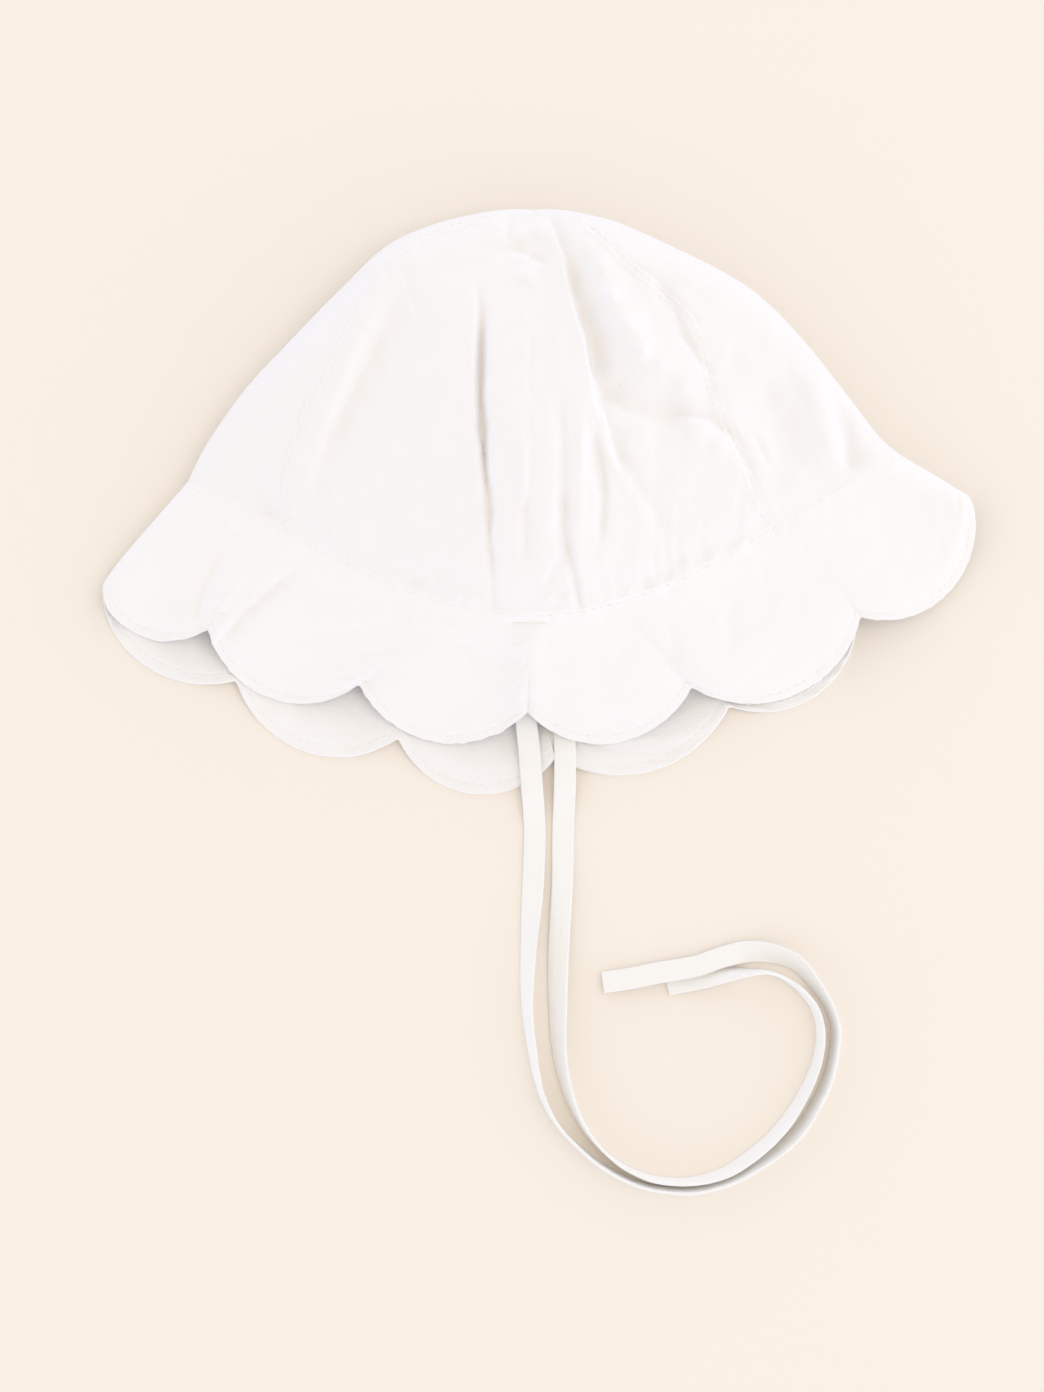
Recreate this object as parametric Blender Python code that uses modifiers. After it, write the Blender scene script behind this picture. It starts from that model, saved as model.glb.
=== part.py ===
"""A baby's sun bonnet of white cotton, lying folded on a table with one ear side up.

The crown is six panels that meet at a puckered tip. A scalloped brim in two halves is sewn to
its open end, and a flat tie leaves each ear. X runs along the folded width, Y from the brim to
the tip, and Z up from the table.
"""
import math
from collections import namedtuple

import bmesh
import bpy
import numpy as np

# Sizes in metres. Every length in the tables below is a share of one of them.
HAT_WIDTH = 0.2734
HAT_LENGTH = 0.1829
CROWN_HEIGHT = 0.0335
CROWN_WALL = 0.0012
BRIM_WALL = 0.0018
SEAM_GAP = 0.0007
GATHER_DEPTH = 0.0005
BRIM_WAVE = 0.0010
TIE_WIDTH = 0.0068
TIE_THICKNESS = 0.0014
TIE_CLEARANCE = 0.0003

# The width of cloth that turns over at a side fold, for each metre of the fold's height.
ROLL_RATIO = 1.5
# The brim's least width, as a share of HAT_LENGTH.
BRIM_SHARE = 1 / 6
# How sharply each row of the crown sags between its two folds.
SAG_POWER = 1.25

# The crown's gathers fade out this far, in down, from the brim seam.
GATHER_REACH = 0.07

PANEL_COLUMNS = 20
FOLD_PANEL_COLUMNS = 16
LOWER_PANEL_COLUMNS = 6
CROWN_MESH_ROWS = 20
SCALLOPS = 6
SCALLOP_COLUMNS = 5
FOLD_SCALLOP_COLUMNS = 9
BRIM_MESH_ROWS = 6
GATHERS = 15
TIE_POINT_GAP = 0.0085
CURVE_SAMPLES = 40

# Powers and weights above 1 or 0 crowd the mesh towards the tip, the side folds and the creases.
TIP_CROWDING = 1.15
FOLD_CROWDING = 1.5
CREASE_CROWDING = 2.2
CREASE_CROWD_WIDTH = 0.025
CREASE_SAMPLES = 400

CROWN_COLOUR = (0.93, 0.92, 0.90, 1.0)
BRIM_COLOUR = (0.94, 0.93, 0.91, 1.0)
TIE_COLOUR = (0.95, 0.94, 0.92, 1.0)
CLOTH_ROUGHNESS = 0.9

# Where the panel seams and the long creases lie round one layer: 0 is the left fold, 1 the right.
STATIONS = {
    "left_fold": 0.0,
    "left_seam": 1 / 6,
    "left_crease": 0.38,
    "centre_seam": 0.5,
    "middle_crease": 0.56,
    "right_crease": 0.66,
    "right_seam": 5 / 6,
    "right_fold": 1.0,
}
SEAM_STATIONS = ["left_fold", "left_seam", "centre_seam", "right_seam", "right_fold"]

# One row for each line round the crown, from the tip (down 0) to the brim seam (down 1).
# left_x to right_y are the two folds, in shares of HAT_WIDTH and HAT_LENGTH from the middle.
# sag and lower_extra are shares of HAT_LENGTH, and the rest are shares of the row's own width.
CrownRow = namedtuple(
    "CrownRow",
    "down left_x left_y right_x right_y sag lower_extra "
    "left_seam left_crease centre_seam middle_crease right_crease right_seam",
)
CROWN_ROWS = [
    CrownRow(0.00, -0.012, 0.488, 0.008, 0.488, 0.009, 0.000, 0.16, 0.38, 0.50, 0.57, 0.68, 0.84),
    CrownRow(0.06, -0.052, 0.481, 0.045, 0.481, 0.041, 0.004, 0.13, 0.36, 0.50, 0.60, 0.76, 0.88),
    CrownRow(0.15, -0.095, 0.468, 0.084, 0.468, 0.088, 0.010, 0.08, 0.31, 0.50, 0.61, 0.73, 0.89),
    CrownRow(0.30, -0.157, 0.432, 0.147, 0.429, 0.142, 0.020, 0.06, 0.33, 0.50, 0.58, 0.70, 0.88),
    CrownRow(0.45, -0.218, 0.351, 0.243, 0.353, 0.171, 0.031, 0.06, 0.34, 0.46, 0.54, 0.64, 0.86),
    CrownRow(0.60, -0.276, 0.263, 0.302, 0.268, 0.195, 0.041, 0.08, 0.38, 0.47, 0.53, 0.60, 0.83),
    CrownRow(0.75, -0.327, 0.181, 0.352, 0.175, 0.207, 0.051, 0.10, 0.40, 0.47, 0.53, 0.59, 0.82),
    CrownRow(0.90, -0.373, 0.081, 0.395, 0.095, 0.217, 0.058, 0.12, 0.42, 0.47, 0.54, 0.58, 0.82),
    CrownRow(1.00, -0.391, 0.027, 0.412, 0.075, 0.244, 0.064, 0.14, 0.43, 0.48, 0.55, 0.59, 0.83),
]

# One row for each line round the hat, on to the brim's edge (down 2), in shares of CROWN_HEIGHT.
# loft is the middle of the upper layer, fold the side folds and floor the middle of the lower one.
HeightRow = namedtuple("HeightRow", "down loft fold floor")
HEIGHT_ROWS = [
    HeightRow(0.00, 0.36, 0.280, 0.20),
    HeightRow(0.06, 0.50, 0.270, 0.04),
    HeightRow(0.15, 0.62, 0.260, 0.00),
    HeightRow(0.30, 0.78, 0.250, 0.00),
    HeightRow(0.45, 0.93, 0.235, 0.00),
    HeightRow(0.60, 1.00, 0.220, 0.00),
    HeightRow(0.75, 0.99, 0.205, 0.00),
    HeightRow(0.90, 0.86, 0.185, 0.00),
    HeightRow(1.00, 0.68, 0.175, 0.00),
    HeightRow(1.35, 0.50, 0.165, 0.00),
    HeightRow(1.70, 0.37, 0.155, 0.00),
    HeightRow(2.00, 0.31, 0.155, 0.00),
]

# One row for each point between two scallops, from the left fold to the right one. upper and
# lower are shares of HAT_WIDTH and HAT_LENGTH, and each bulge is how far the scallop that
# follows swells past the straight line, as a share of HAT_WIDTH.
CuspRow = namedtuple("CuspRow", "upper_x upper_y upper_bulge lower_x lower_y lower_bulge")
CUSP_ROWS = [
    CuspRow(-0.496, -0.149, 0.033, -0.496, -0.149, 0.042),
    CuspRow(-0.367, -0.220, 0.049, -0.337, -0.305, 0.049),
    CuspRow(-0.197, -0.314, 0.049, -0.154, -0.403, 0.051),
    CuspRow(-0.008, -0.359, 0.049, 0.024, -0.437, 0.044),
    CuspRow(0.177, -0.317, 0.054, 0.220, -0.349, 0.048),
    CuspRow(0.367, -0.198, 0.058, 0.365, -0.190, 0.046),
    CuspRow(0.490, 0.007, 0.000, 0.490, 0.007, 0.000),
]

# One row for each crease or ridge of the upper layer: where it starts, its middle and its end,
# as station and down, its half width as a share of HAT_WIDTH, and how far it drops (or, if
# negative, rises) as a share of CROWN_HEIGHT.
FoldRow = namedtuple("FoldRow", "start start_down middle middle_down end end_down width drop")
FOLD_ROWS = [
    FoldRow(0.380, 0.22, 0.380, 0.60, 0.380, 1.00, 0.013, 0.30),
    FoldRow(0.660, 0.02, 0.660, 0.30, 0.655, 0.56, 0.012, 0.30),
    FoldRow(0.560, 0.52, 0.560, 0.75, 0.560, 1.02, 0.009, 0.13),
    FoldRow(0.645, 0.58, 0.650, 0.70, 0.640, 0.82, 0.009, 0.11),
    FoldRow(0.650, 0.50, 0.670, 0.70, 0.710, 0.90, 0.010, -0.07),
    FoldRow(0.690, 0.38, 0.755, 0.52, 0.840, 0.80, 0.020, -0.12),
    FoldRow(0.680, 0.50, 0.740, 0.66, 0.790, 0.88, 0.026, 0.10),
    FoldRow(0.470, 0.15, 0.465, 0.55, 0.460, 1.00, 0.026, -0.08),
    FoldRow(0.300, 0.30, 0.290, 0.60, 0.290, 0.95, 0.050, 0.09),
    FoldRow(0.230, 0.18, 0.220, 0.28, 0.225, 0.42, 0.016, 0.07),
    FoldRow(0.905, 0.55, 0.900, 0.72, 0.905, 0.90, 0.014, 0.07),
    FoldRow(0.500, 0.00, 0.500, 0.05, 0.500, 0.11, 0.026, -0.13),
    FoldRow(0.110, 0.98, 0.080, 1.25, 0.060, 1.60, 0.012, 0.05),
]

# One row for each point of a tie's route: shares of HAT_WIDTH and HAT_LENGTH, on is 1 over the
# lower brim and 0 on the table, rise is a share of CROWN_HEIGHT, and turn is in degrees from
# lying flat to standing on the edge that is outer in the bend, and on past upright.
TieRow = namedtuple("TieRow", "x y on rise turn")
LEFT_TIE_ROWS = [
    TieRow(-0.008, -0.222, 1.0, 0.390, 0),
    TieRow(-0.008, -0.300, 1.0, 0.200, 0),
    TieRow(-0.009, -0.365, 1.0, 0.080, 0),
    TieRow(-0.005, -0.430, 1.0, 0.010, 0),
    TieRow(-0.002, -0.490, 1.0, 0.000, 0),
    TieRow(0.000, -0.530, 0.3, 0.000, 0),
    TieRow(0.001, -0.570, 0.0, 0.000, 0),
    TieRow(-0.001, -0.651, 0.0, 0.000, 12),
    TieRow(-0.006, -0.754, 0.0, 0.000, 45),
    TieRow(-0.008, -0.851, 0.0, 0.000, 62),
    TieRow(-0.003, -0.920, 0.0, 0.000, 70),
    TieRow(0.007, -0.998, 0.0, 0.000, 78),
    TieRow(0.025, -1.054, 0.0, 0.000, 83),
    TieRow(0.049, -1.093, 0.0, 0.000, 88),
    TieRow(0.077, -1.127, 0.0, 0.000, 92),
    TieRow(0.112, -1.154, 0.0, 0.000, 96),
    TieRow(0.147, -1.166, 0.0, 0.000, 99),
    TieRow(0.185, -1.166, 0.0, 0.000, 104),
    TieRow(0.222, -1.150, 0.0, 0.000, 110),
    TieRow(0.249, -1.128, 0.0, 0.000, 115),
    TieRow(0.275, -1.102, 0.0, 0.000, 117),
    TieRow(0.299, -1.069, 0.0, 0.000, 116),
    TieRow(0.317, -1.028, 0.0, 0.000, 113),
    TieRow(0.331, -0.985, 0.0, 0.000, 110),
    TieRow(0.339, -0.938, 0.0, 0.000, 108),
    TieRow(0.341, -0.894, 0.0, 0.000, 108),
    TieRow(0.333, -0.856, 0.0, 0.000, 112),
    TieRow(0.318, -0.820, 0.0, 0.000, 121),
    TieRow(0.299, -0.786, 0.0, 0.000, 135),
    TieRow(0.273, -0.769, 0.0, 0.000, 152),
    TieRow(0.243, -0.765, 0.0, 0.010, 176),
    TieRow(0.213, -0.774, 0.0, 0.020, 197),
    TieRow(0.183, -0.789, 0.0, 0.024, 201),
    TieRow(0.141, -0.800, 0.0, 0.026, 196),
    TieRow(0.112, -0.809, 0.0, 0.022, 195),
    TieRow(0.078, -0.817, 0.0, 0.015, 190),
]
RIGHT_TIE_ROWS = [
    TieRow(0.031, -0.272, 1.0, 0.000, 0),
    TieRow(0.033, -0.340, 1.0, 0.000, 0),
    TieRow(0.035, -0.420, 1.0, 0.000, 0),
    TieRow(0.035, -0.480, 1.0, 0.000, 0),
    TieRow(0.034, -0.520, 0.3, 0.000, 0),
    TieRow(0.033, -0.560, 0.0, 0.000, 0),
    TieRow(0.032, -0.651, 0.0, 0.000, 6),
    TieRow(0.028, -0.754, 0.0, 0.000, 16),
    TieRow(0.027, -0.851, 0.0, 0.000, 34),
    TieRow(0.029, -0.935, 0.0, 0.000, 52),
    TieRow(0.038, -1.000, 0.0, 0.000, 66),
    TieRow(0.054, -1.056, 0.0, 0.000, 76),
    TieRow(0.075, -1.096, 0.0, 0.000, 84),
    TieRow(0.101, -1.127, 0.0, 0.000, 91),
    TieRow(0.129, -1.146, 0.0, 0.000, 96),
    TieRow(0.159, -1.153, 0.0, 0.000, 99),
    TieRow(0.188, -1.150, 0.0, 0.000, 104),
    TieRow(0.217, -1.137, 0.0, 0.000, 110),
    TieRow(0.241, -1.115, 0.0, 0.000, 115),
    TieRow(0.263, -1.088, 0.0, 0.000, 117),
    TieRow(0.283, -1.056, 0.0, 0.000, 116),
    TieRow(0.299, -1.020, 0.0, 0.000, 113),
    TieRow(0.313, -0.979, 0.0, 0.000, 110),
    TieRow(0.322, -0.936, 0.0, 0.000, 107),
    TieRow(0.324, -0.898, 0.0, 0.000, 105),
    TieRow(0.318, -0.862, 0.0, 0.000, 104),
    TieRow(0.304, -0.833, 0.0, 0.000, 101),
    TieRow(0.285, -0.811, 0.0, 0.000, 96),
    TieRow(0.264, -0.799, 0.0, 0.000, 90),
    TieRow(0.241, -0.800, 0.0, 0.000, 76),
    TieRow(0.211, -0.804, 0.0, 0.000, 40),
    TieRow(0.182, -0.812, 0.0, 0.000, 14),
    TieRow(0.151, -0.822, 0.0, 0.000, 0),
]

# One row for each crown panel: its name, where it starts and ends round the hat (0 to 1 over
# the upper layer, below 0 or above 1 on the lower one) and its number of mesh columns.
PanelRow = namedtuple("PanelRow", "name start end columns")
PANEL_ROWS = [
    PanelRow("crown_left_fold_panel", -1 / 6, 1 / 6, FOLD_PANEL_COLUMNS),
    PanelRow("crown_upper_left_panel", 1 / 6, 1 / 2, PANEL_COLUMNS),
    PanelRow("crown_upper_right_panel", 1 / 2, 5 / 6, PANEL_COLUMNS),
    PanelRow("crown_right_fold_panel", 5 / 6, 7 / 6, FOLD_PANEL_COLUMNS),
    PanelRow("crown_lower_right_panel", 7 / 6, 3 / 2, LOWER_PANEL_COLUMNS),
    PanelRow("crown_lower_left_panel", 3 / 2, 11 / 6, LOWER_PANEL_COLUMNS),
]


def smooth(knots, values, at):
    """The height at each place in at of a smooth curve through the knots, with no overshoot."""
    knots = np.asarray(knots, float)
    values = np.asarray(values, float)
    steps = np.diff(values) / np.diff(knots)
    before, after = steps[:-1], steps[1:]
    same_way = before * after > 0
    total = np.where(same_way, before + after, 1.0)
    inner = np.where(same_way, 2 * before * after / total, 0.0)
    slopes = np.concatenate([steps[:1], inner, steps[-1:]])
    at = np.clip(at, knots[0], knots[-1])
    i = np.clip(np.searchsorted(knots, at, side="right") - 1, 0, len(steps) - 1)
    gap = knots[i + 1] - knots[i]
    t = (at - knots[i]) / gap
    start = values[i] * (1 + 2 * t) * (1 - t) ** 2 + gap * slopes[i] * t * (1 - t) ** 2
    end = values[i + 1] * t * t * (3 - 2 * t) + gap * slopes[i + 1] * t * t * (t - 1)
    return start + end


def column(rows, name, at):
    """A table's column read between its rows, by the table's first column."""
    return smooth([row[0] for row in rows], [getattr(row, name) for row in rows], at)


def across_share(down, station, names):
    """How far across the row each station lies, from 0 at the left fold to 1 at the right."""
    shares = [0.0]
    shares += [float(column(CROWN_ROWS, name, down)) for name in names[1:-1]]
    shares += [1.0]
    return smooth([STATIONS[name] for name in names], shares, station)


def crown_plan(down, station, upper):
    """The crown's place on the table's plane, as X and Y in metres."""
    upper_share = across_share(down, station, list(STATIONS))
    lower_share = across_share(down, station, SEAM_STATIONS)
    share = np.where(upper, upper_share, lower_share)
    left_x, left_y, right_x, right_y, sag, extra = (
        column(CROWN_ROWS, name, down)
        for name in ("left_x", "left_y", "right_x", "right_y", "sag", "lower_extra")
    )
    drop = (sag + np.where(upper, 0.0, extra)) * np.sin(math.pi * share) ** SAG_POWER
    x = HAT_WIDTH * (left_x + (right_x - left_x) * share)
    y = HAT_LENGTH * (left_y + (right_y - left_y) * share - drop)
    return np.stack([x, y], axis=-1)


def cusp_points(layer):
    """The points between the scallops of one layer, in metres, and each scallop's bulge."""
    points = [
        (HAT_WIDTH * getattr(row, layer + "_x"), HAT_LENGTH * getattr(row, layer + "_y"))
        for row in CUSP_ROWS
    ]
    bulges = [HAT_WIDTH * getattr(row, layer + "_bulge") for row in CUSP_ROWS]
    return np.array(points), np.array(bulges)


def scalloped_edge(station, layer):
    """The brim's edge: each scallop is an arc of a circle from one cusp to the next."""
    points, bulges = cusp_points(layer)
    place = np.clip(station, 0.0, 1.0) * SCALLOPS
    i = np.clip(np.floor(place).astype(int), 0, SCALLOPS - 1)
    t = place - i
    along = points[i + 1] - points[i]
    length = np.linalg.norm(along, axis=-1)
    along = along / length[:, None]
    outward = np.stack([along[:, 1], -along[:, 0]], axis=-1)
    half_angle = 2 * np.arctan(2 * bulges[i] / length)
    radius = length / (2 * np.sin(half_angle))
    angle = half_angle * (2 * t - 1)
    side = radius * np.sin(angle) + length / 2
    swell = radius * (np.cos(angle) - np.cos(half_angle))
    return points[i] + along * side[:, None] + outward * swell[:, None]


def hat_plan(down, station, upper):
    """The plan of the crown (down 0 to 1) and of the brim (down 1 to 2)."""
    if down <= 1:
        return crown_plan(down, station, upper)
    seam = crown_plan(1.0, station, upper)
    upper_edge = scalloped_edge(station, "upper")
    lower_edge = scalloped_edge(station, "lower")
    edge = np.where(upper[:, None], upper_edge, lower_edge)
    return seam + (edge - seam) * (down - 1)


def fold_depth(down, station, row_width):
    """How far the creases and ridges drop the upper layer, as a share of CROWN_HEIGHT."""
    total = np.zeros_like(station)
    for fold in FOLD_ROWS:
        if not fold.start_down < down < fold.end_down:
            continue
        knots = [fold.start_down, fold.middle_down, fold.end_down]
        centre = smooth(knots, [fold.start, fold.middle, fold.end], down)
        along = (down - fold.start_down) / (fold.end_down - fold.start_down)
        fade = 1 - abs(2 * along - 1) ** 3
        distance = (station - centre) * row_width / (fold.width * HAT_WIDTH)
        total += fold.drop * fade * np.exp(-distance ** 2)
    return total


def hat_points(down, loop):
    """The outer surface at each place round the loop.

    loop is 0 at the left fold and 1 at the right one, over the upper layer. On the lower layer
    it runs on from 1 to 2, back to the left fold, or from 0 down to -1, to the right one.
    """
    loop = np.asarray(loop, float)
    upper = (loop >= 0) & (loop <= 1)
    station = np.where(loop < 0, -loop, np.where(loop > 1, 2 - loop, loop))
    plan = hat_plan(down, station, upper)
    ends = hat_plan(down, np.array([0.0, 1.0]), np.array([True, True]))
    row_width = float(np.linalg.norm(ends[1] - ends[0]))
    loft, fold, floor = (
        CROWN_HEIGHT * float(column(HEIGHT_ROWS, name, down)) for name in ("loft", "fold", "floor")
    )
    nearest = np.where((station <= 0.5)[:, None], ends[0], ends[1])
    roll = min(ROLL_RATIO * fold, row_width / 2)
    turn = np.clip(np.linalg.norm(plan - nearest, axis=-1) / roll, 0.0, 1.0)
    plan = nearest + (plan - nearest) * (turn * (2 - turn))[:, None]
    lift = np.sin(turn * math.pi / 2)
    belly = min(fold, loft - fold)
    middle = np.sin(math.pi * station) ** SAG_POWER
    top = fold + belly * lift + (loft - fold - belly) * middle
    top -= CROWN_HEIGHT * fold_depth(down, station, row_width) * lift
    near_seam = math.exp(-((down - 1) / GATHER_REACH) ** 2)
    top += GATHER_DEPTH * near_seam * lift * np.cos(2 * math.pi * GATHERS * station)
    over_brim = max(0.0, down - 1)
    top += BRIM_WAVE * over_brim * lift * np.cos(2 * math.pi * SCALLOPS * station)
    bottom = fold - (fold - floor) * lift
    return np.column_stack([plan, np.where(upper, top, bottom)])


def share_for_gap(down, loop):
    """Half of SEAM_GAP, as a share of the way round the loop at this place."""
    step = 0.002
    a, b = hat_points(down, [loop - step, loop + step])
    return SEAM_GAP / 2 * 2 * step / float(np.linalg.norm(b - a))


def clear_of_seams(loop, down):
    """The same places drawn in evenly, to leave half of the seam's gap at both ends."""
    start = loop[0] + share_for_gap(down, loop[0])
    end = loop[-1] - share_for_gap(down, loop[-1])
    return start + (loop - loop[0]) * (end - start) / (loop[-1] - loop[0])


def cloth_object(name, columns, rows, place_row, wall, material):
    """A grid whose rows are placed by place_row, given the wall's thickness on its inner side."""
    mesh = bpy.data.meshes.new(name)
    grid = bmesh.new()
    bmesh.ops.create_grid(grid, x_segments=columns, y_segments=rows, size=0.5)
    lines = {}
    for vertex in grid.verts:
        lines.setdefault(round((0.5 - vertex.co.y) * rows), []).append(vertex)
    for line, vertices in lines.items():
        vertices.sort(key=lambda vertex: vertex.co.x)
        for vertex, point in zip(vertices, place_row(line / rows)):
            vertex.co = point
    grid.to_mesh(mesh)
    grid.free()
    mesh.materials.append(material)
    mesh.shade_smooth()
    piece = bpy.data.objects.new(name, mesh)
    bonnet.objects.link(piece)
    thickness = piece.modifiers.new("wall", "SOLIDIFY")
    thickness.thickness = wall
    thickness.offset = -1
    return piece


def crowded_columns(start, end, count):
    """Places from start to end that lie closer together where the long creases run."""
    fine = np.linspace(start, end, CREASE_SAMPLES)
    density = np.ones_like(fine)
    for name in ("left_crease", "middle_crease", "right_crease"):
        density += CREASE_CROWDING * np.exp(-((fine - STATIONS[name]) / CREASE_CROWD_WIDTH) ** 2)
    reach = np.concatenate([[0.0], np.cumsum((density[1:] + density[:-1]) / 2)])
    return np.interp(np.linspace(0.0, reach[-1], count + 1), reach, fine)


def crown_panel(row, material):
    """One panel of the crown, from the tip to the brim seam."""
    def place_row(share):
        down = share ** TIP_CROWDING
        loop = crowded_columns(row.start, row.end, row.columns)
        return hat_points(down, clear_of_seams(loop, down))
    return cloth_object(row.name, row.columns, CROWN_MESH_ROWS, place_row, CROWN_WALL, material)


def brim_half(name, start, end, material):
    """Half of the brim, from the lower ear seam round one fold to the upper ear seam."""
    fold = (start + end) / 2
    beside_fold = np.linspace(0.0, 1.0, FOLD_SCALLOP_COLUMNS + 1) ** FOLD_CROWDING / SCALLOPS
    plain_columns = (SCALLOPS // 2 - 1) * SCALLOP_COLUMNS
    onward = np.linspace(1 / SCALLOPS, 0.5, plain_columns + 1)[1:]
    places = np.concatenate([beside_fold, onward])
    loop = fold + np.concatenate([-places[:0:-1], places])

    def place_row(share):
        inner = 1 + SEAM_GAP / (BRIM_SHARE * HAT_LENGTH)
        down = inner + (2 - inner) * share
        return hat_points(down, clear_of_seams(loop, down))
    return cloth_object(name, len(loop) - 1, BRIM_MESH_ROWS, place_row, BRIM_WALL, material)


def tie_route(rows):
    """A tie's centre line and its turn, at even distances along a smooth curve."""
    half = TIE_THICKNESS / 2
    knots = np.arange(len(rows), dtype=float)
    fine = np.linspace(0.0, knots[-1], CURVE_SAMPLES * len(rows))
    turn = np.radians(smooth(knots, [row.turn for row in rows], fine))
    x = HAT_WIDTH * curved(knots, [row.x for row in rows], fine)
    y = HAT_LENGTH * curved(knots, [row.y for row in rows], fine)
    over_brim = (BRIM_WALL + TIE_CLEARANCE) * smooth(knots, [row.on for row in rows], fine)
    rise = CROWN_HEIGHT * smooth(knots, [row.rise for row in rows], fine)
    z = over_brim + rise + half + (TIE_WIDTH / 2 - half) * np.abs(np.sin(turn))
    places = np.column_stack([x, y, z])
    steps = np.linalg.norm(np.diff(places, axis=0), axis=1)
    reach = np.concatenate([[0.0], np.cumsum(steps)])
    count = max(2, round(reach[-1] / TIE_POINT_GAP))
    even = np.linspace(0.0, reach[-1], count + 1)
    points = np.column_stack([np.interp(even, reach, places[:, axis]) for axis in range(3)])
    return points, np.interp(even, reach, turn)


def curved(knots, values, at):
    """A curve through the knots that may swing past them, as a bent tape does."""
    values = np.asarray(values, float)
    slopes = np.gradient(values, knots)
    i = np.clip(np.searchsorted(knots, at, side="right") - 1, 0, len(knots) - 2)
    t = at - knots[i]
    start = values[i] * (1 + 2 * t) * (1 - t) ** 2 + slopes[i] * t * (1 - t) ** 2
    end = values[i + 1] * t * t * (3 - 2 * t) + slopes[i + 1] * t * t * (t - 1)
    return start + end


def tie(name, rows, material):
    """A flat tie, as a curve drawn out to the tape's width."""
    points, turns = tie_route(rows)
    curve = bpy.data.curves.new(name, "CURVE")
    curve.dimensions = "3D"
    curve.fill_mode = "FULL"
    curve.twist_mode = "Z_UP"
    curve.bevel_depth = TIE_THICKNESS / 2
    curve.bevel_resolution = 0
    curve.extrude = (TIE_WIDTH - TIE_THICKNESS) / 2
    curve.use_fill_caps = True
    spline = curve.splines.new("POLY")
    spline.points.add(len(points) - 1)
    for control, point, turn in zip(spline.points, points, turns):
        control.co = (*point, 1.0)
        control.tilt = math.pi / 2 + turn
    curve.materials.append(material)
    piece = bpy.data.objects.new(name, curve)
    bonnet.objects.link(piece)
    return piece


def cloth_material(name, colour):
    material = bpy.data.materials.new(name)
    material.use_nodes = True
    shader = material.node_tree.nodes["Principled BSDF"]
    shader.inputs["Base Color"].default_value = colour
    shader.inputs["Roughness"].default_value = CLOTH_ROUGHNESS
    shader.inputs["Metallic"].default_value = 0.0
    return material


for old in list(bpy.data.objects):
    bpy.data.objects.remove(old, do_unlink=True)

bonnet = bpy.data.collections.new("sun_bonnet")
bpy.context.scene.collection.children.link(bonnet)

crown_cotton = cloth_material("crown_cotton", CROWN_COLOUR)
for panel in PANEL_ROWS:
    crown_panel(panel, crown_cotton)

brim_cotton = cloth_material("brim_cotton", BRIM_COLOUR)
brim_half("brim_left_half", -0.5, 0.5, brim_cotton)
brim_half("brim_right_half", 0.5, 1.5, brim_cotton)

tie_cotton = cloth_material("tie_cotton", TIE_COLOUR)
tie("tie_left", LEFT_TIE_ROWS, tie_cotton)
tie("tie_right", RIGHT_TIE_ROWS, tie_cotton)
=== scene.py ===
"""The look of a baby's white cotton sun bonnet that lies folded on a pale surface."""

import math
from collections import namedtuple

import bpy
import numpy as np
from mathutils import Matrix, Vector


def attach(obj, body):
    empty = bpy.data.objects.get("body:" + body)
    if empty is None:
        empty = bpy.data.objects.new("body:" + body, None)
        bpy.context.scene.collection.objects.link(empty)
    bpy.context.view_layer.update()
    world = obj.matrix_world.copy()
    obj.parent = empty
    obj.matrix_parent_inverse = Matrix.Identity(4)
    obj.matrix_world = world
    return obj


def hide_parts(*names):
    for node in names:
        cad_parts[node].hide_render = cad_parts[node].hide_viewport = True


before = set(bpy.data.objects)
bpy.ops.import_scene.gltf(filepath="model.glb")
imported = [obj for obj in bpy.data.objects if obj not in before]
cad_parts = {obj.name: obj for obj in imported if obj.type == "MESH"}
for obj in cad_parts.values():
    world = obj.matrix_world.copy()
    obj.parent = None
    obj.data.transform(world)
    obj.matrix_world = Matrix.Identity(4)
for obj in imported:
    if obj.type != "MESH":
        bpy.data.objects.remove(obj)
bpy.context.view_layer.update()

# Sizes in metres, the same as the solids'.
HAT_WIDTH = 0.2734
HAT_LENGTH = 0.1829
CROWN_HEIGHT = 0.0335
CROWN_WALL = 0.0010
BRIM_WALL = 0.0013
SOLID_BRIM_WALL = 0.0018
TIE_WIDTH = 0.0068
TIE_THICKNESS = 0.0014
TIE_CLEARANCE = 0.0003
ROLL_RATIO = 1.5
SAG_POWER = 1.25
SCALLOPS = 6
BRIM_WAVE = 0.0022
LOWER_BRIM_WAVE = 0.0016

# How far the brim's left end is drawn out, in metres, how fast that fades away from the end, how
# late it sets in towards the edge, and the way it goes.
END_PULL = 0.0026
END_SPREAD = 0.022
END_POWER = 6
END_WAY = np.array([0.95, 0.30])

# Sewing and cloth details: lengths in metres, and shares, counts and offsets into the noise.
SEAM_DIP = 0.00005
SEAM_DIP_WIDTH = 0.0008
SEAM_CLEAR = 0.0015
SEAM_STITCH = 0.0012
FELL_WIDTH = 0.0042
FELL_EDGE = 0.0003
FELL_DIP_SHARE = 0.5
FELL_DIP_WIDTH = 0.0005
FELL_STITCH = 0.0034
PUCKER_DEPTH = 0.00035
PUCKER_STEP = 0.0032
PUCKER_WIDTH = 0.006
PUCKER_REACH = 0.0045
OTHER_SEAM = 7.0
GATHER_DEPTH = 0.0006
GATHER_STEP = 0.0042
GATHER_REACH = 0.0120
GATHER_START = 0.0016
GATHER_SHARE = 0.5
WRINKLE_DEPTH = 0.0005
WRINKLE_WIDTH = 0.0085
WRINKLE_LENGTH = 0.0420
FINE_WRINKLE_SHARE = 0.5
FINE_WRINKLES_ACROSS = 2.1
FINE_WRINKLES_ALONG = 1.6
CRUMPLE_DEPTH = 0.00036
CRUMPLE_SIZE = 0.0060
BRIM_CRUMPLE_SHARE = 0.6
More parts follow.
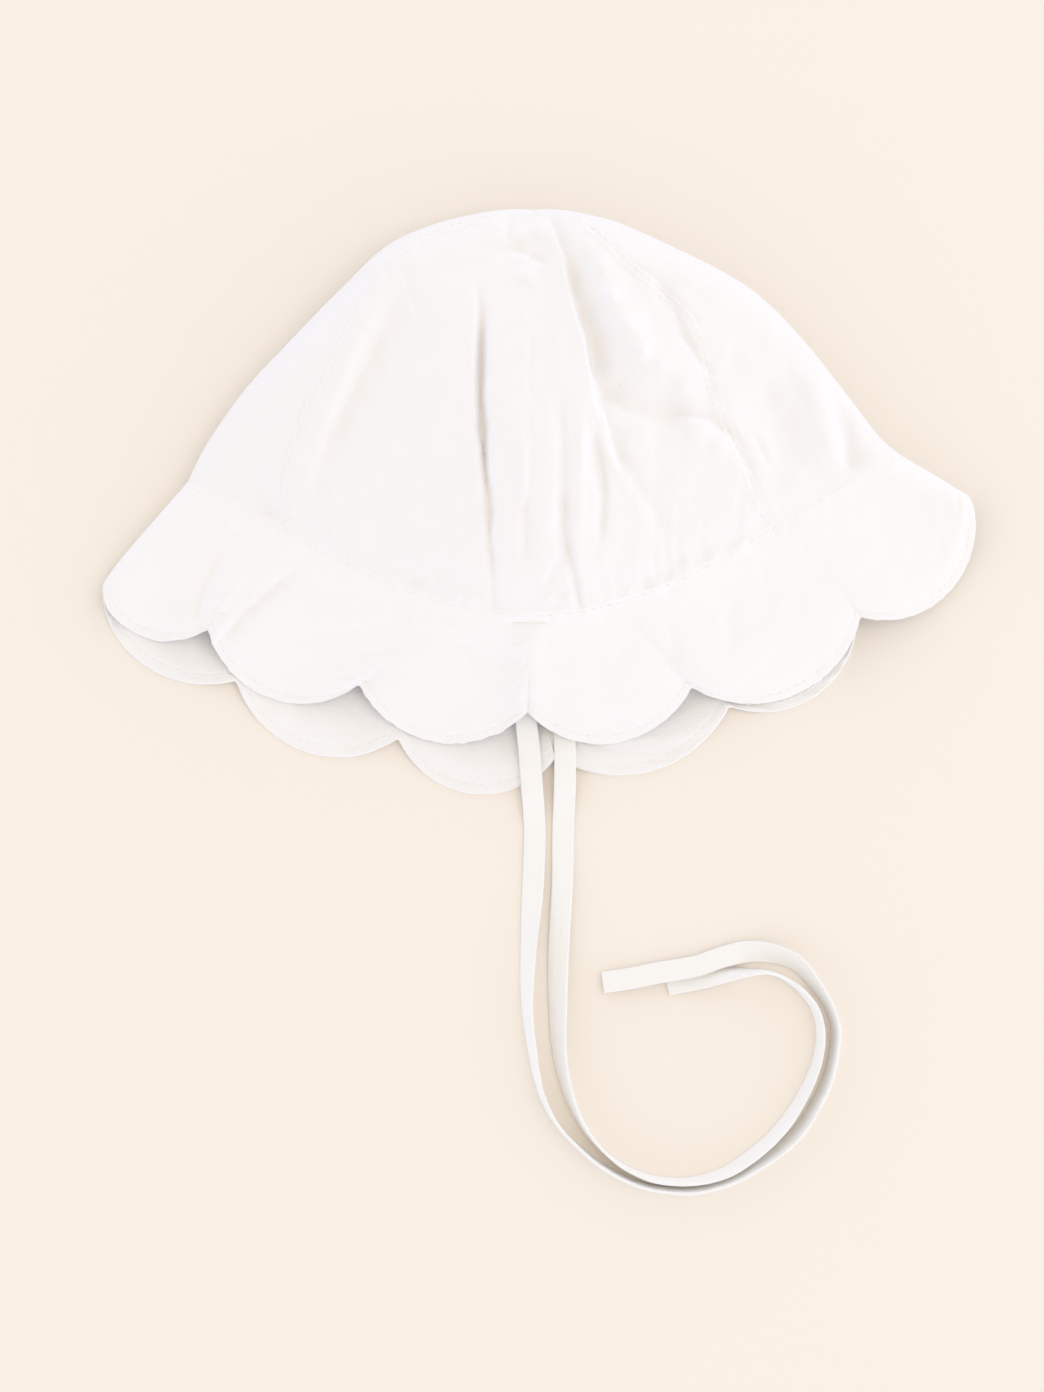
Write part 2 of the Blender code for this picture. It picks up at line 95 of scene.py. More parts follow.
BRIM_SEAM_CLEAR = 0.0012
BRIM_SEAM_STITCH = 0.0014
BRIM_WRINKLE_DEPTH = 0.0005
BRIM_WRINKLE_SIZE = 0.0260
BRIM_PUCKER_DEPTH = 0.0004
BRIM_PUCKER_STEP = 0.0030
BRIM_PUCKER_LENGTH = 0.012
BRIM_PUCKER_REACH = 0.0065
HEM_LINE = 0.0026
HEM_DIP = 0.00020
HEM_DIP_WIDTH = 0.0006
HEM_PUCKER_DEPTH = 0.00016
HEM_PUCKER_STEP = 0.0021
HEM_PUCKER_LENGTH = 0.004
TIP_REACH = 0.035
TIP_HOLE = 0.05
TIP_CLEAR = 0.006
TIP_PLACES = 25
RIM_ROUNDING = 0.3
STITCH_PITCH = 0.0027
STITCH_LENGTH = 0.0020
THREAD_RADIUS = 0.00019
STITCH_CLEAR = 0.010
THREAD_SIDES = 6
SHARP_ANGLE = 52
TIE_SPACING = 0.0010
TIE_SEAM = 0.0011
TIE_SEAM_DIP = 0.00012
TIE_SEAM_WIDTH = 0.0004
TIE_WRINKLE = 0.00012
TIE_WRINKLE_STEP = 0.0060
TIE_WRINKLE_WIDTH = 0.003
TIE_NOISE_START = 3
TIE_OTHER_SIDE = 5
TIE_HEM_EDGE = 0.0002
TIE_HEM = 0.0045
HEM_RAISE = 0.00012
TIE_FLAT_COLUMNS = 13
TIE_EDGE_COLUMNS = 4
CURVE_SAMPLES = 40

# How uneven the gathers are, as shares of themselves, and how far apart each change is, in metres.
REACH_CHANGE = 0.6
REACH_CHANGE_STEP = 0.007
PHASE_CHANGE = 0.35
PHASE_CHANGE_ACROSS = 0.009
PHASE_CHANGE_ALONG = 0.02
LUMP_CHANGE = 0.6
LUMP_CHANGES_PER_GATHER = 1.7
LUMP_CHANGE_ALONG = 0.030
LIVELY = 0.55
LIVELY_CHANGE = 0.45
LIVELY_STEP = 0.014

# Each ring of a stitch: how far along it lies, and its width and rise in thread radii.
THREAD_RINGS = ((0.0, 0.4, -0.6), (0.18, 1.0, 0.2), (0.82, 1.0, 0.2), (1.0, 0.4, -0.6))

# The bar tack across the top of the brim's centre seam: its place in the photograph's pixels, the
# half width and half height of the cloth that it holds flat, and the part of the brim it is in.
TACK_LEFT = 514
TACK_RIGHT = 546
TACK_TOP = 622.5
TACK_FOOT = 627.5
TACK_THREADS = 34
TACK_RAISE = 0.00009
TACK_MIDDLE = np.array([530.0, 625.0])
TACK_HOLD = np.array([26.0, 9.0])
TACK_FADE = 0.12
TACK_DOWNS = (1.0, 1.2, 81)
TACK_LOOPS = (0.44, 0.54, 501)

# A fold fades out at its ends over this many of its widths, or this share of its length.
FADE_WIDTHS = 1.2
FADE_SHARE = 0.25

# The noise's lattice, and the least length that is divided by.
LATTICE = (97, 89)
NEARLY_ZERO = 1e-12

# The photograph, to place the camera: one pixel's size on the table, and the picture's size.
PIXEL = 0.00031
PICTURE_WIDTH = 1044
PICTURE_HEIGHT = 1392
HAT_MIDDLE_ACROSS = 534
HAT_MIDDLE_DOWN = 500
LENS = 85
SENSOR = 36
CAMERA_X = (PICTURE_WIDTH / 2 - HAT_MIDDLE_ACROSS) * PIXEL
CAMERA_Y = (HAT_MIDDLE_DOWN - PICTURE_HEIGHT / 2) * PIXEL
CAMERA_HEIGHT = PICTURE_HEIGHT * PIXEL * LENS / SENSOR

# Places over the upper layer, from 0 at the left fold to 1 at the right fold.
STATIONS = {
    "left_fold": 0.0,
    "left_seam": 1 / 6,
    "left_crease": 0.38,
    "centre_seam": 0.5,
    "middle_crease": 0.56,
    "right_crease": 0.66,
    "right_seam": 5 / 6,
    "right_fold": 1.0,
}
SEAM_STATIONS = ["left_fold", "left_seam", "centre_seam", "right_seam", "right_fold"]

# The crown's plan from its tip to the brim, as the solids have it: the folds' places as shares of
# HAT_WIDTH and HAT_LENGTH, the row's sag, and how far across each station lies.
CrownRow = namedtuple(
    "CrownRow",
    "down left_x left_y right_x right_y sag lower_extra "
    "left_seam left_crease centre_seam middle_crease right_crease right_seam",
)
CROWN_ROWS = [CrownRow(*row) for row in (
    (0.00, -0.012, 0.488, 0.008, 0.488, 0.009, 0.000, 0.16, 0.38, 0.50, 0.57, 0.68, 0.84),
    (0.06, -0.052, 0.481, 0.045, 0.481, 0.041, 0.004, 0.13, 0.36, 0.50, 0.60, 0.76, 0.88),
    (0.15, -0.095, 0.468, 0.084, 0.468, 0.088, 0.010, 0.08, 0.31, 0.50, 0.61, 0.73, 0.89),
    (0.30, -0.157, 0.432, 0.147, 0.429, 0.142, 0.020, 0.06, 0.33, 0.50, 0.58, 0.70, 0.88),
    (0.45, -0.218, 0.351, 0.243, 0.353, 0.171, 0.031, 0.06, 0.34, 0.46, 0.54, 0.64, 0.86),
    (0.60, -0.276, 0.263, 0.302, 0.268, 0.195, 0.041, 0.08, 0.38, 0.47, 0.53, 0.60, 0.83),
    (0.75, -0.327, 0.181, 0.352, 0.175, 0.207, 0.051, 0.10, 0.40, 0.47, 0.53, 0.59, 0.82),
    (0.90, -0.373, 0.081, 0.395, 0.095, 0.217, 0.058, 0.12, 0.42, 0.47, 0.54, 0.58, 0.82),
    (1.00, -0.391, 0.027, 0.412, 0.075, 0.244, 0.064, 0.14, 0.43, 0.48, 0.55, 0.59, 0.83),
)]

# The heights from the tip over the brim's seam, at 1, to its edge, at 2, as shares of CROWN_HEIGHT.
HeightRow = namedtuple("HeightRow", "down loft fold floor")
HEIGHT_ROWS = [HeightRow(*row) for row in (
    (0.00, 0.36, 0.280, 0.20),
    (0.06, 0.50, 0.270, 0.04),
    (0.15, 0.62, 0.260, 0.00),
    (0.30, 0.78, 0.250, 0.00),
    (0.45, 0.93, 0.235, 0.00),
    (0.60, 1.00, 0.220, 0.00),
    (0.75, 0.99, 0.205, 0.00),
    (0.90, 0.86, 0.185, 0.00),
    (1.00, 0.68, 0.175, 0.00),
    (1.35, 0.47, 0.155, 0.00),
    (1.70, 0.33, 0.135, 0.00),
    (2.00, 0.155, 0.115, 0.00),
)]

# The points between the scallops, and how far each scallop swells beyond them.
CuspRow = namedtuple("CuspRow", "upper_x upper_y upper_bulge lower_x lower_y lower_bulge")
CUSP_ROWS = [CuspRow(*row) for row in (
    (-0.496, -0.149, 0.033, -0.496, -0.149, 0.042),
    (-0.367, -0.220, 0.049, -0.337, -0.305, 0.049),
    (-0.197, -0.314, 0.049, -0.154, -0.403, 0.051),
    (-0.008, -0.359, 0.049, 0.024, -0.437, 0.044),
    (0.177, -0.317, 0.054, 0.220, -0.349, 0.048),
    (0.367, -0.198, 0.058, 0.365, -0.190, 0.046),
    (0.490, 0.007, 0.000, 0.490, 0.007, 0.000),
)]

# A crease or ridge of the upper layer: its half width on the left hand and on the right hand of
# someone who walks along it, its drop as a share of CROWN_HEIGHT, negative for a ridge, and the
# bent line that it follows. Widths and points are in the photograph's pixels.
FoldRow = namedtuple("FoldRow", "name left_hand right_hand drop points")
FOLD_ROWS = [FoldRow(*row) for row in (
    ("left crease", 5.6, 4.8, 0.100,
     [(477, 270), (481, 325), (480, 400), (484, 460), (488, 505), (491, 590)]),
    ("left crease pit", 5.4, 5.0, 0.050, [(481, 306), (480, 380), (483, 440), (487, 500)]),
    ("left crease tail", 4.0, 3.0, 0.03, [(490, 540), (493, 585), (494, 616)]),
    ("right crease top", 9.0, 2.4, 0.050,
     [(540, 190), (556, 232), (564, 252), (572, 284), (584, 326)]),
    ("right crease", 20.0, 2.6, 0.100,
     [(562, 246), (577, 306), (585, 328), (592, 358), (598, 392), (603, 430)]),
    ("right crease tail", 10.0, 3.4, 0.040, [(599, 384), (605, 412), (612, 440), (624, 480)]),
    ("right crease pit", 14.0, 2.6, 0.075, [(576, 302), (583, 326), (591, 350), (598, 384)]),
    ("right crease shoulder", 13.0, 13.0, -0.06,
     [(590, 250), (604, 282), (622, 322), (648, 362), (684, 396)]),
    ("overlap valley", 22.0, 10.0, 0.080,
     [(596, 380), (608, 396), (626, 408), (650, 415), (694, 418)]),
    ("overlap edge", 7.0, 4.8, 0.042,
     [(656, 410), (688, 415), (708, 419), (730, 433), (748, 468), (757, 500)]),
    ("middle crease", 6.8, 9.0, 0.048, [(558, 380), (563, 450), (563, 500), (564, 580)]),
    ("middle crease pit", 5.6, 6.4, 0.034, [(563, 480), (564, 530), (568, 584)]),
    ("middle crease tail", 4.6, 4.4, 0.050, [(564, 530), (572, 566), (582, 618)]),
    ("middle crease branch", 5.0, 5.0, 0.020, [(560, 552), (555, 568), (546, 588)]),
    ("stripe right of the middle crease", 6.0, 6.0, -0.018, [(580, 400), (582, 460), (580, 545)]),
    ("small crease", 4.6, 7.5, 0.048, [(590, 424), (599, 456), (604, 494), (600, 550)]),
    ("bright diagonal", 5.4, 5.4, -0.006,
     [(590, 420), (606, 452), (625, 486), (646, 524), (664, 562)]),
    ("diagonal's shade", 7.5, 7.5, 0.020,
     [(606, 424), (622, 456), (640, 488), (660, 522), (676, 552)]),
    ("centre shade", 7.0, 7.0, 0.04, [(524, 490), (527, 530), (526, 566)]),
    ("centre stripe", 6.0, 6.0, -0.03, [(521, 420), (523, 470), (521, 512)]),
    ("left seam band", 9.0, 12.0, -0.045,
     [(388, 270), (352, 350), (322, 430), (300, 500), (290, 540)]),
    ("left hollow", 80.0, 14.0, 0.095, [(420, 262), (368, 366), (330, 440), (300, 520)]),
    ("left small shade", 6.0, 4.0, 0.020, [(402, 264), (410, 290), (424, 330)]),
    ("left seam's foot", 12.0, 12.0, 0.020, [(378, 516), (388, 540), (398, 560)]),
    ("tip's left edge", 4.0, 4.0, 0.020, [(511, 206), (508, 226), (508, 244)]),
    ("tip's lower edge", 5.0, 3.4, 0.022, [(508, 246), (522, 254), (536, 260), (552, 264)]),
    ("slope by the crease", 12.0, 12.0, -0.030,
     [(600, 236), (614, 272), (634, 318), (662, 356), (708, 396)]),
    ("shade beyond the lumps", 9.0, 9.0, 0.030, [(652, 262), (664, 296), (676, 330), (700, 366)]),
    ("right seam pucker 1", 4.6, 4.6, 0.020, [(664, 284), (680, 322), (688, 352)]),
    ("right seam pucker 2", 4.6, 4.6, 0.020, [(684, 332), (698, 360), (722, 382)]),
    ("right seam pucker 3", 4.0, 4.0, 0.022, [(752, 430), (762, 450), (770, 468)]),
    ("right fold", 10.0, 10.0, 0.06, [(838, 392), (846, 430), (852, 480)]),
    ("right ridge", 12.0, 12.0, -0.04, [(800, 360), (822, 410), (836, 470)]),
    ("right hollow", 24.0, 24.0, 0.07, [(756, 370), (776, 430), (800, 486)]),
    ("left side crease", 9.0, 9.0, 0.020, [(240, 430), (262, 480), (276, 524)]),
    ("left brim crease", 7.0, 4.5, 0.040, [(306, 560), (274, 588), (244, 614), (210, 652)]),
    ("left brim second crease", 6.0, 4.5, 0.034, [(232, 536), (212, 574), (202, 596), (192, 634)]),
    ("left brim ridge", 7.0, 7.0, -0.035, [(252, 566), (228, 590), (212, 622)]),
    ("left brim cusp", 9.0, 9.0, -0.055, [(222, 612), (214, 634), (208, 656)]),
    ("cloth over the tie", 17.0, 17.0, -0.085, [(527, 618), (527, 690), (527, 760)]),
    ("brim valley", 16.0, 16.0, 0.03, [(508, 640), (498, 684), (492, 726)]),
    ("brim small crease", 5.0, 5.0, 0.025, [(460, 638), (470, 650), (484, 664)]),
    ("right brim ripple", 8.0, 8.0, 0.02, [(668, 616), (672, 640), (674, 668)]),
    ("right brim second ripple", 8.0, 8.0, 0.02, [(728, 596), (730, 620), (734, 650)]),
)]

# A round lump of the upper layer: its middle and its radius in the photograph's pixels, and its
# rise as a share of CROWN_HEIGHT.
LumpRow = namedtuple("LumpRow", "across down radius rise")
LUMP_ROWS = [LumpRow(*row) for row in (
    # At the tip.
    (522, 236, 9.0, 0.045),
    (538, 229, 10.0, 0.055),
    # Under the tip.
    (528, 277, 9.0, 0.045),
    # By the crease.
    (589, 247, 9.0, 0.030),
    (601, 265, 11.0, 0.060),
    (611, 297, 9.0, 0.050),
    (628, 326, 10.0, 0.055),
    (641, 352, 8.0, 0.045),
    (660, 366, 8.0, 0.035),
    (681, 387, 10.0, 0.055),
    # Below the overlap.
    (700, 434, 12.0, 0.050),
    (721, 448, 9.0, 0.040),
    # Gathers.
    (688, 566, 8.0, 0.040),
    (657, 588, 8.0, 0.040),
    (672, 580, 6.0, 0.025),
    (741, 546, 7.0, 0.038),
    (714, 556, 6.0, 0.030),
    (548, 599, 6.0, 0.032),
    (568, 599, 6.0, 0.032),
    (472, 599, 6.0, 0.030),
    (456, 596, 6.0, 0.030),
    (422, 587, 6.0, 0.030),
    (396, 577, 6.0, 0.024),
    (630, 590, 6.0, 0.026),
    # Left gathers.
    (206, 506, 10.0, 0.028),
    (234, 520, 9.0, 0.026),
    (264, 536, 11.0, 0.030),
    (292, 544, 9.0, 0.030),
)]

# A tie's route, as the solids have it: shares of HAT_WIDTH and HAT_LENGTH, its turn in degrees,
# how fully it lies on the lower brim, and its rise as a share of CROWN_HEIGHT.
TieRow = namedtuple("TieRow", "x y turn on rise", defaults=(0.0, 0.0))
LEFT_TIE_ROWS = [TieRow(*row) for row in (
    (-0.008, -0.222, 0, 1.0, 0.390),
    (-0.008, -0.300, 0, 1.0, 0.200),
    (-0.009, -0.365, 0, 1.0, 0.080),
    (-0.005, -0.430, 0, 1.0, 0.010),
    (-0.002, -0.490, 0, 1.0, 0.000),
    (0.000, -0.530, 0, 0.3, 0.000),
    (0.001, -0.570, 0),
    (-0.001, -0.651, 12),
    (-0.006, -0.754, 45),
    (-0.008, -0.851, 62),
    (-0.003, -0.920, 70),
    (0.007, -0.998, 78),
    (0.025, -1.054, 83),
    (0.049, -1.093, 88),
    (0.077, -1.127, 92),
    (0.112, -1.154, 96),
    (0.147, -1.166, 99),
    (0.185, -1.166, 104),
    (0.222, -1.150, 110),
    (0.249, -1.128, 115),
    (0.275, -1.102, 117),
    (0.299, -1.069, 116),
    (0.317, -1.028, 113),
    (0.331, -0.985, 110),
    (0.339, -0.938, 108),
    (0.341, -0.894, 108),
    (0.333, -0.856, 112),
    (0.318, -0.820, 121),
    (0.299, -0.786, 135),
    (0.273, -0.769, 152),
    (0.243, -0.765, 176, 0.0, 0.010),
    (0.213, -0.774, 197, 0.0, 0.020),
    (0.183, -0.789, 201, 0.0, 0.024),
    (0.141, -0.800, 196, 0.0, 0.026),
    (0.112, -0.809, 195, 0.0, 0.022),
    (0.078, -0.817, 190, 0.0, 0.015),
)]
RIGHT_TIE_ROWS = [TieRow(*row) for row in (
    (0.031, -0.272, 0, 1.0, 0.000),
    (0.033, -0.340, 0, 1.0, 0.000),
    (0.035, -0.420, 0, 1.0, 0.000),
    (0.035, -0.480, 0, 1.0, 0.000),
    (0.034, -0.520, 0, 0.3, 0.000),
    (0.033, -0.560, 0),
    (0.032, -0.651, 6),
    (0.028, -0.754, 16),
    (0.027, -0.851, 34),
    (0.029, -0.935, 52),
    (0.038, -1.000, 66),
    (0.054, -1.056, 76),
    (0.075, -1.096, 84),
    (0.101, -1.127, 91),
    (0.129, -1.146, 96),
    (0.159, -1.153, 99),
    (0.188, -1.150, 104),
    (0.217, -1.137, 110),
    (0.241, -1.115, 115),
    (0.263, -1.088, 117),
    (0.283, -1.056, 116),
    (0.299, -1.020, 113),
    (0.313, -0.979, 110),
    (0.322, -0.936, 107),
    (0.324, -0.898, 105),
    (0.318, -0.862, 104),
    (0.304, -0.833, 101),
    (0.285, -0.811, 96),
    (0.264, -0.799, 90),
    (0.241, -0.800, 76),
    (0.211, -0.804, 40),
    (0.182, -0.812, 14),
    (0.151, -0.822, 0),
)]

# Each panel's part of the loop, its grid, the side with the felled seam and how wrinkled it is.
PanelRow = namedtuple("PanelRow", "name start end columns rows fell fell_raise wrinkled")
PANEL_ROWS = [PanelRow(*row) for row in (
    ("crown_left_fold_panel", -1 / 6, 1 / 6, 110, 170, "none", 0.0, 0.8),
    ("crown_upper_left_panel", 1 / 6, 1 / 2, 170, 230, "start", 0.00030, 0.7),
    ("crown_upper_right_panel", 1 / 2, 5 / 6, 170, 230, "end", 0.00004, 0.8),
    ("crown_right_fold_panel", 5 / 6, 7 / 6, 110, 170, "none", 0.0, 0.5),
    ("crown_lower_right_panel", 7 / 6, 3 / 2, 60, 80, "none", 0.0, 1.0),
    ("crown_lower_left_panel", 3 / 2, 11 / 6, 60, 80, "none", 0.0, 1.0),
)]
BRIM_COLUMNS = 320
BRIM_ROWS = 60

# The cotton: the sizes of its weave, slubs, nap and clouds, and their shares of height and tone.
WEAVE_SCALE = 6.6
WEAVE_WAVER = 0.8
WEAVE_DETAIL = 0.6
SLUB_ACROSS = 22.0
SLUB_ALONG = 1.6
NAP_SCALE = 60.0
CLOUD_SCALE = 0.35
WEAVE_HEIGHT = 0.30
NAP_HEIGHT = 0.35
BUMP_STRENGTH = 0.30
BUMP_DISTANCE = 0.00022
CLOUD_TONE = 0.6
SLUB_TONE = 0.25
SLUB_ROUGHNESS = 0.08
ROUGHNESS = 0.84
SPECULAR = 0.12
SHEEN = 0.10
SHEEN_ROUGHNESS = 0.6

# Each cotton's lighter tone, deeper tone and how strongly its weave shows.
COTTON_ROWS = [
    ("crown_cotton", (0.922, 0.899, 0.894, 1.0), (0.896, 0.871, 0.864, 1.0), 1.0),
    # The brim's cotton is a lighter copy of the crown's: painted light that makes up for the shade
    # the upper brim casts on the lower brim.
    ("brim_cotton", (0.936, 0.912, 0.906, 1.0), (0.912, 0.886, 0.878, 1.0), 1.0),
    ("tie_cotton", (0.930, 0.912, 0.890, 1.0), (0.905, 0.885, 0.862, 1.0), 0.8),
    ("sewing_thread", (0.940, 0.922, 0.912, 1.0), (0.920, 0.900, 0.890, 1.0), 0.0),
]

# The table, the sky's colours from its edge to its top, and the key lamp.
FLOOR_SIZE = 10
FLOOR_PLACE = (0, -0.06, 0)
TABLE_COLOUR = (0.912, 0.838, 0.766, 1.0)
TABLE_ROUGHNESS = 0.9
TABLE_SPECULAR = 0.1
HORIZON_COLOUR = (1.50, 1.74, 2.20, 1.0)
ZENITH_COLOUR = (0.760, 0.630, 0.395, 1.0)
SKY_STRENGTH = 0.93
KEY_SIZE = 1.8
KEY_POWER = 12.0
KEY_COLOUR = (1.0, 0.975, 0.94)
KEY_PLACE = (1.25, 0.15, 2.50)
KEY_AIM = (0.0, -0.05, 0.0)


def smooth(knots, values, at):
    """The height at each place in at of a smooth curve through the knots, with no overshoot."""
    knots = np.asarray(knots, float)
    values = np.asarray(values, float)
    steps = np.diff(values) / np.diff(knots)
    before, after = steps[:-1], steps[1:]
    same_way = before * after > 0
    total = np.where(same_way, before + after, 1.0)
    inner = np.where(same_way, 2 * before * after / total, 0.0)
    slopes = np.concatenate([steps[:1], inner, steps[-1:]])
    at = np.clip(at, knots[0], knots[-1])
    i = np.clip(np.searchsorted(knots, at, side="right") - 1, 0, len(steps) - 1)
    gap = knots[i + 1] - knots[i]
    t = (at - knots[i]) / gap
    start = values[i] * (1 + 2 * t) * (1 - t) ** 2 + gap * slopes[i] * t * (1 - t) ** 2
    end = values[i + 1] * t * t * (3 - 2 * t) + gap * slopes[i + 1] * t * t * (t - 1)
    return start + end


def curved(knots, values, at):
    """A curve through the knots that may swing past them, as a bent tape does."""
    values = np.asarray(values, float)
    slopes = np.gradient(values, knots)
    i = np.clip(np.searchsorted(knots, at, side="right") - 1, 0, len(knots) - 2)
    t = at - knots[i]
    start = values[i] * (1 + 2 * t) * (1 - t) ** 2 + slopes[i] * t * (1 - t) ** 2
    end = values[i + 1] * t * t * (3 - 2 * t) + slopes[i + 1] * t * t * (t - 1)
    return start + end


def column(rows, name, at):
    """A table's column read between its rows, by the table's first column."""
    return smooth([row[0] for row in rows], [getattr(row, name) for row in rows], at)


def across_share(down, station, names):
    """How far across the row each station lies, from 0 at the left fold to 1 at the right."""
    shares = [0.0]
    shares += [float(column(CROWN_ROWS, name, down)) for name in names[1:-1]]
    shares += [1.0]
    return smooth([STATIONS[name] for name in names], shares, station)


def crown_plan(down, station, upper):
    """The crown's place on the table's plane, as X and Y in metres."""
    upper_share = across_share(down, station, list(STATIONS))
    lower_share = across_share(down, station, SEAM_STATIONS)
    share = np.where(upper, upper_share, lower_share)
    left_x, left_y, right_x, right_y, sag, extra = (
        column(CROWN_ROWS, name, down)
        for name in ("left_x", "left_y", "right_x", "right_y", "sag", "lower_extra")
    )
    drop = (sag + np.where(upper, 0.0, extra)) * np.sin(math.pi * share) ** SAG_POWER
    x = HAT_WIDTH * (left_x + (right_x - left_x) * share)
    y = HAT_LENGTH * (left_y + (right_y - left_y) * share - drop)
    return np.stack([x, y], axis=-1)


def cusp_points(layer):
    """The points between the scallops of one layer, in metres, and each scallop's bulge."""
    points = [
        (HAT_WIDTH * getattr(row, layer + "_x"), HAT_LENGTH * getattr(row, layer + "_y"))
        for row in CUSP_ROWS
    ]
    bulges = [HAT_WIDTH * getattr(row, layer + "_bulge") for row in CUSP_ROWS]
    return np.array(points), np.array(bulges)


def scalloped_edge(station, layer):
    """The brim's edge: each scallop is an arc of a circle from one cusp to the next."""
    points, bulges = cusp_points(layer)
    place = np.clip(station, 0.0, 1.0) * SCALLOPS
    i = np.clip(np.floor(place).astype(int), 0, SCALLOPS - 1)
    t = place - i
    along = points[i + 1] - points[i]
    length = np.linalg.norm(along, axis=-1)
    along = along / length[:, None]
    outward = np.stack([along[:, 1], -along[:, 0]], axis=-1)
    half_angle = 2 * np.arctan(2 * bulges[i] / length)
    radius = length / (2 * np.sin(half_angle))
    angle = half_angle * (2 * t - 1)
    side = radius * np.sin(angle) + length / 2
    swell = radius * (np.cos(angle) - np.cos(half_angle))
    return points[i] + along * side[:, None] + outward * swell[:, None]


def hat_plan(down, station, upper):
    """The plan of the crown (down 0 to 1) and of the brim (down 1 to 2)."""
    if down <= 1:
        return crown_plan(down, station, upper)
    seam = crown_plan(1.0, station, upper)
    upper_edge = scalloped_edge(station, "upper")
    lower_edge = scalloped_edge(station, "lower")
    edge = np.where(upper[:, None], upper_edge, lower_edge)
    pulled = END_PULL * np.exp(-station / END_SPREAD) * (down - 1) ** END_POWER
    return seam + (edge - seam) * (down - 1) + pulled[:, None] * END_WAY


def picture(points):
    """Where the camera sees each point, in the photograph's pixels."""
    nearer = CAMERA_HEIGHT / (CAMERA_HEIGHT - points[..., 2]) / PIXEL
    across = PICTURE_WIDTH / 2 + (points[..., 0] - CAMERA_X) * nearer
    down = PICTURE_HEIGHT / 2 - (points[..., 1] - CAMERA_Y) * nearer
    return np.stack([across, down], axis=-1)


def from_line(seen, points):
    """Each place's distance to a bent line, less than 0 on the line's left hand, how far along the
    line its foot lies, and the line's length."""
    points = np.array(points, float)
    steps = np.diff(points, axis=0)
    lengths = np.linalg.norm(steps, axis=1)
    reach = np.concatenate([[0.0], np.cumsum(lengths)])
    nearest = np.full(seen.shape[:-1], np.inf)
    walked = np.zeros(seen.shape[:-1])
    hand = np.ones(seen.shape[:-1])
    for start, step, length, done in zip(points, steps, lengths, reach):
        t = np.clip((seen - start) @ step / length ** 2, 0.0, 1.0)
        away = seen - start
        gap = np.linalg.norm(away - t[..., None] * step, axis=-1)
        turned = np.sign(step[0] * away[..., 1] - step[1] * away[..., 0])
        walked = np.where(gap < nearest, done + t * length, walked)
        hand = np.where(gap < nearest, turned, hand)
        nearest = np.minimum(gap, nearest)
    return nearest * hand, walked, reach[-1]


def fold_depth(seen):
    """How far the creases and ridges drop the upper layer, as a share of CROWN_HEIGHT."""
    total = np.zeros(seen.shape[:-1])
    for fold in FOLD_ROWS:
        gap, walked, length = from_line(seen, fold.points)
        width = np.where(gap < 0, fold.left_hand, fold.right_hand)
        taper = max(FADE_WIDTHS * max(fold.left_hand, fold.right_hand), FADE_SHARE * length)
        fade = np.clip(np.minimum(walked, length - walked) / taper, 0.0, 1.0)
        total += fold.drop * fade * fade * (3 - 2 * fade) * dip(gap, width)
    for lump in LUMP_ROWS:
        gap = np.linalg.norm(seen - np.array([lump.across, lump.down]), axis=-1)
        total -= lump.rise * dip(gap, lump.radius)
    return total


def ripple(seed, across, along):
    """Smooth seeded noise from -1 to 1, with a new value at each whole number."""
    lattice = np.random.default_rng(seed).uniform(-1.0, 1.0, LATTICE)
    rows, columns = LATTICE
    i, j = np.floor(across).astype(int), np.floor(along).astype(int)
    s, t = across - i, along - j
    s, t = s * s * (3 - 2 * s), t * t * (3 - 2 * t)
    low, high = (
        lattice[i % rows, k % columns] * (1 - s) + lattice[(i + 1) % rows, k % columns] * s
        for k in (j, j + 1)
    )
    return low * (1 - t) + high * t


def hat_points(down, loop):
    """The outer surface at each place round the loop, 0 to 1 over the upper layer, and how fully
    each place belongs to the upper layer's top."""
    loop = np.asarray(loop, float)
    upper = (loop >= 0) & (loop <= 1)
    station = np.where(loop < 0, -loop, np.where(loop > 1, 2 - loop, loop))
    plan = hat_plan(down, station, upper)
    ends = hat_plan(down, np.array([0.0, 1.0]), np.array([True, True]))
    row_width = float(np.linalg.norm(ends[1] - ends[0]))
    loft, fold, floor = (
        CROWN_HEIGHT * float(column(HEIGHT_ROWS, name, down)) for name in ("loft", "fold", "floor")
    )
    nearest = np.where((station <= 0.5)[:, None], ends[0], ends[1])
    roll = min(ROLL_RATIO * fold, row_width / 2)
    turn = np.clip(np.linalg.norm(plan - nearest, axis=-1) / roll, 0.0, 1.0)
    plan = nearest + (plan - nearest) * (turn * (2 - turn))[:, None]
    lift = np.sin(turn * math.pi / 2)
    belly = min(fold, loft - fold)
    middle = np.sin(math.pi * station) ** SAG_POWER
    top = fold + belly * lift + (loft - fold - belly) * middle
    over_brim = max(0.0, down - 1)
    top += BRIM_WAVE * over_brim * lift * np.cos(2 * math.pi * SCALLOPS * station)
    bottom = fold - (fold - floor) * lift
    cusp = 0.5 + 0.5 * np.cos(2 * math.pi * SCALLOPS * station)
    bottom += LOWER_BRIM_WAVE * over_brim ** 2 * lift * cusp ** 3
    return np.column_stack([plan, np.where(upper, top, bottom)]), np.where(upper, lift, 0.0)


def tip_point():
    """Where the panels meet."""
    points = hat_points(0.0, np.linspace(0.0, 2.0, TIP_PLACES))[0]
    return points.mean(axis=0)


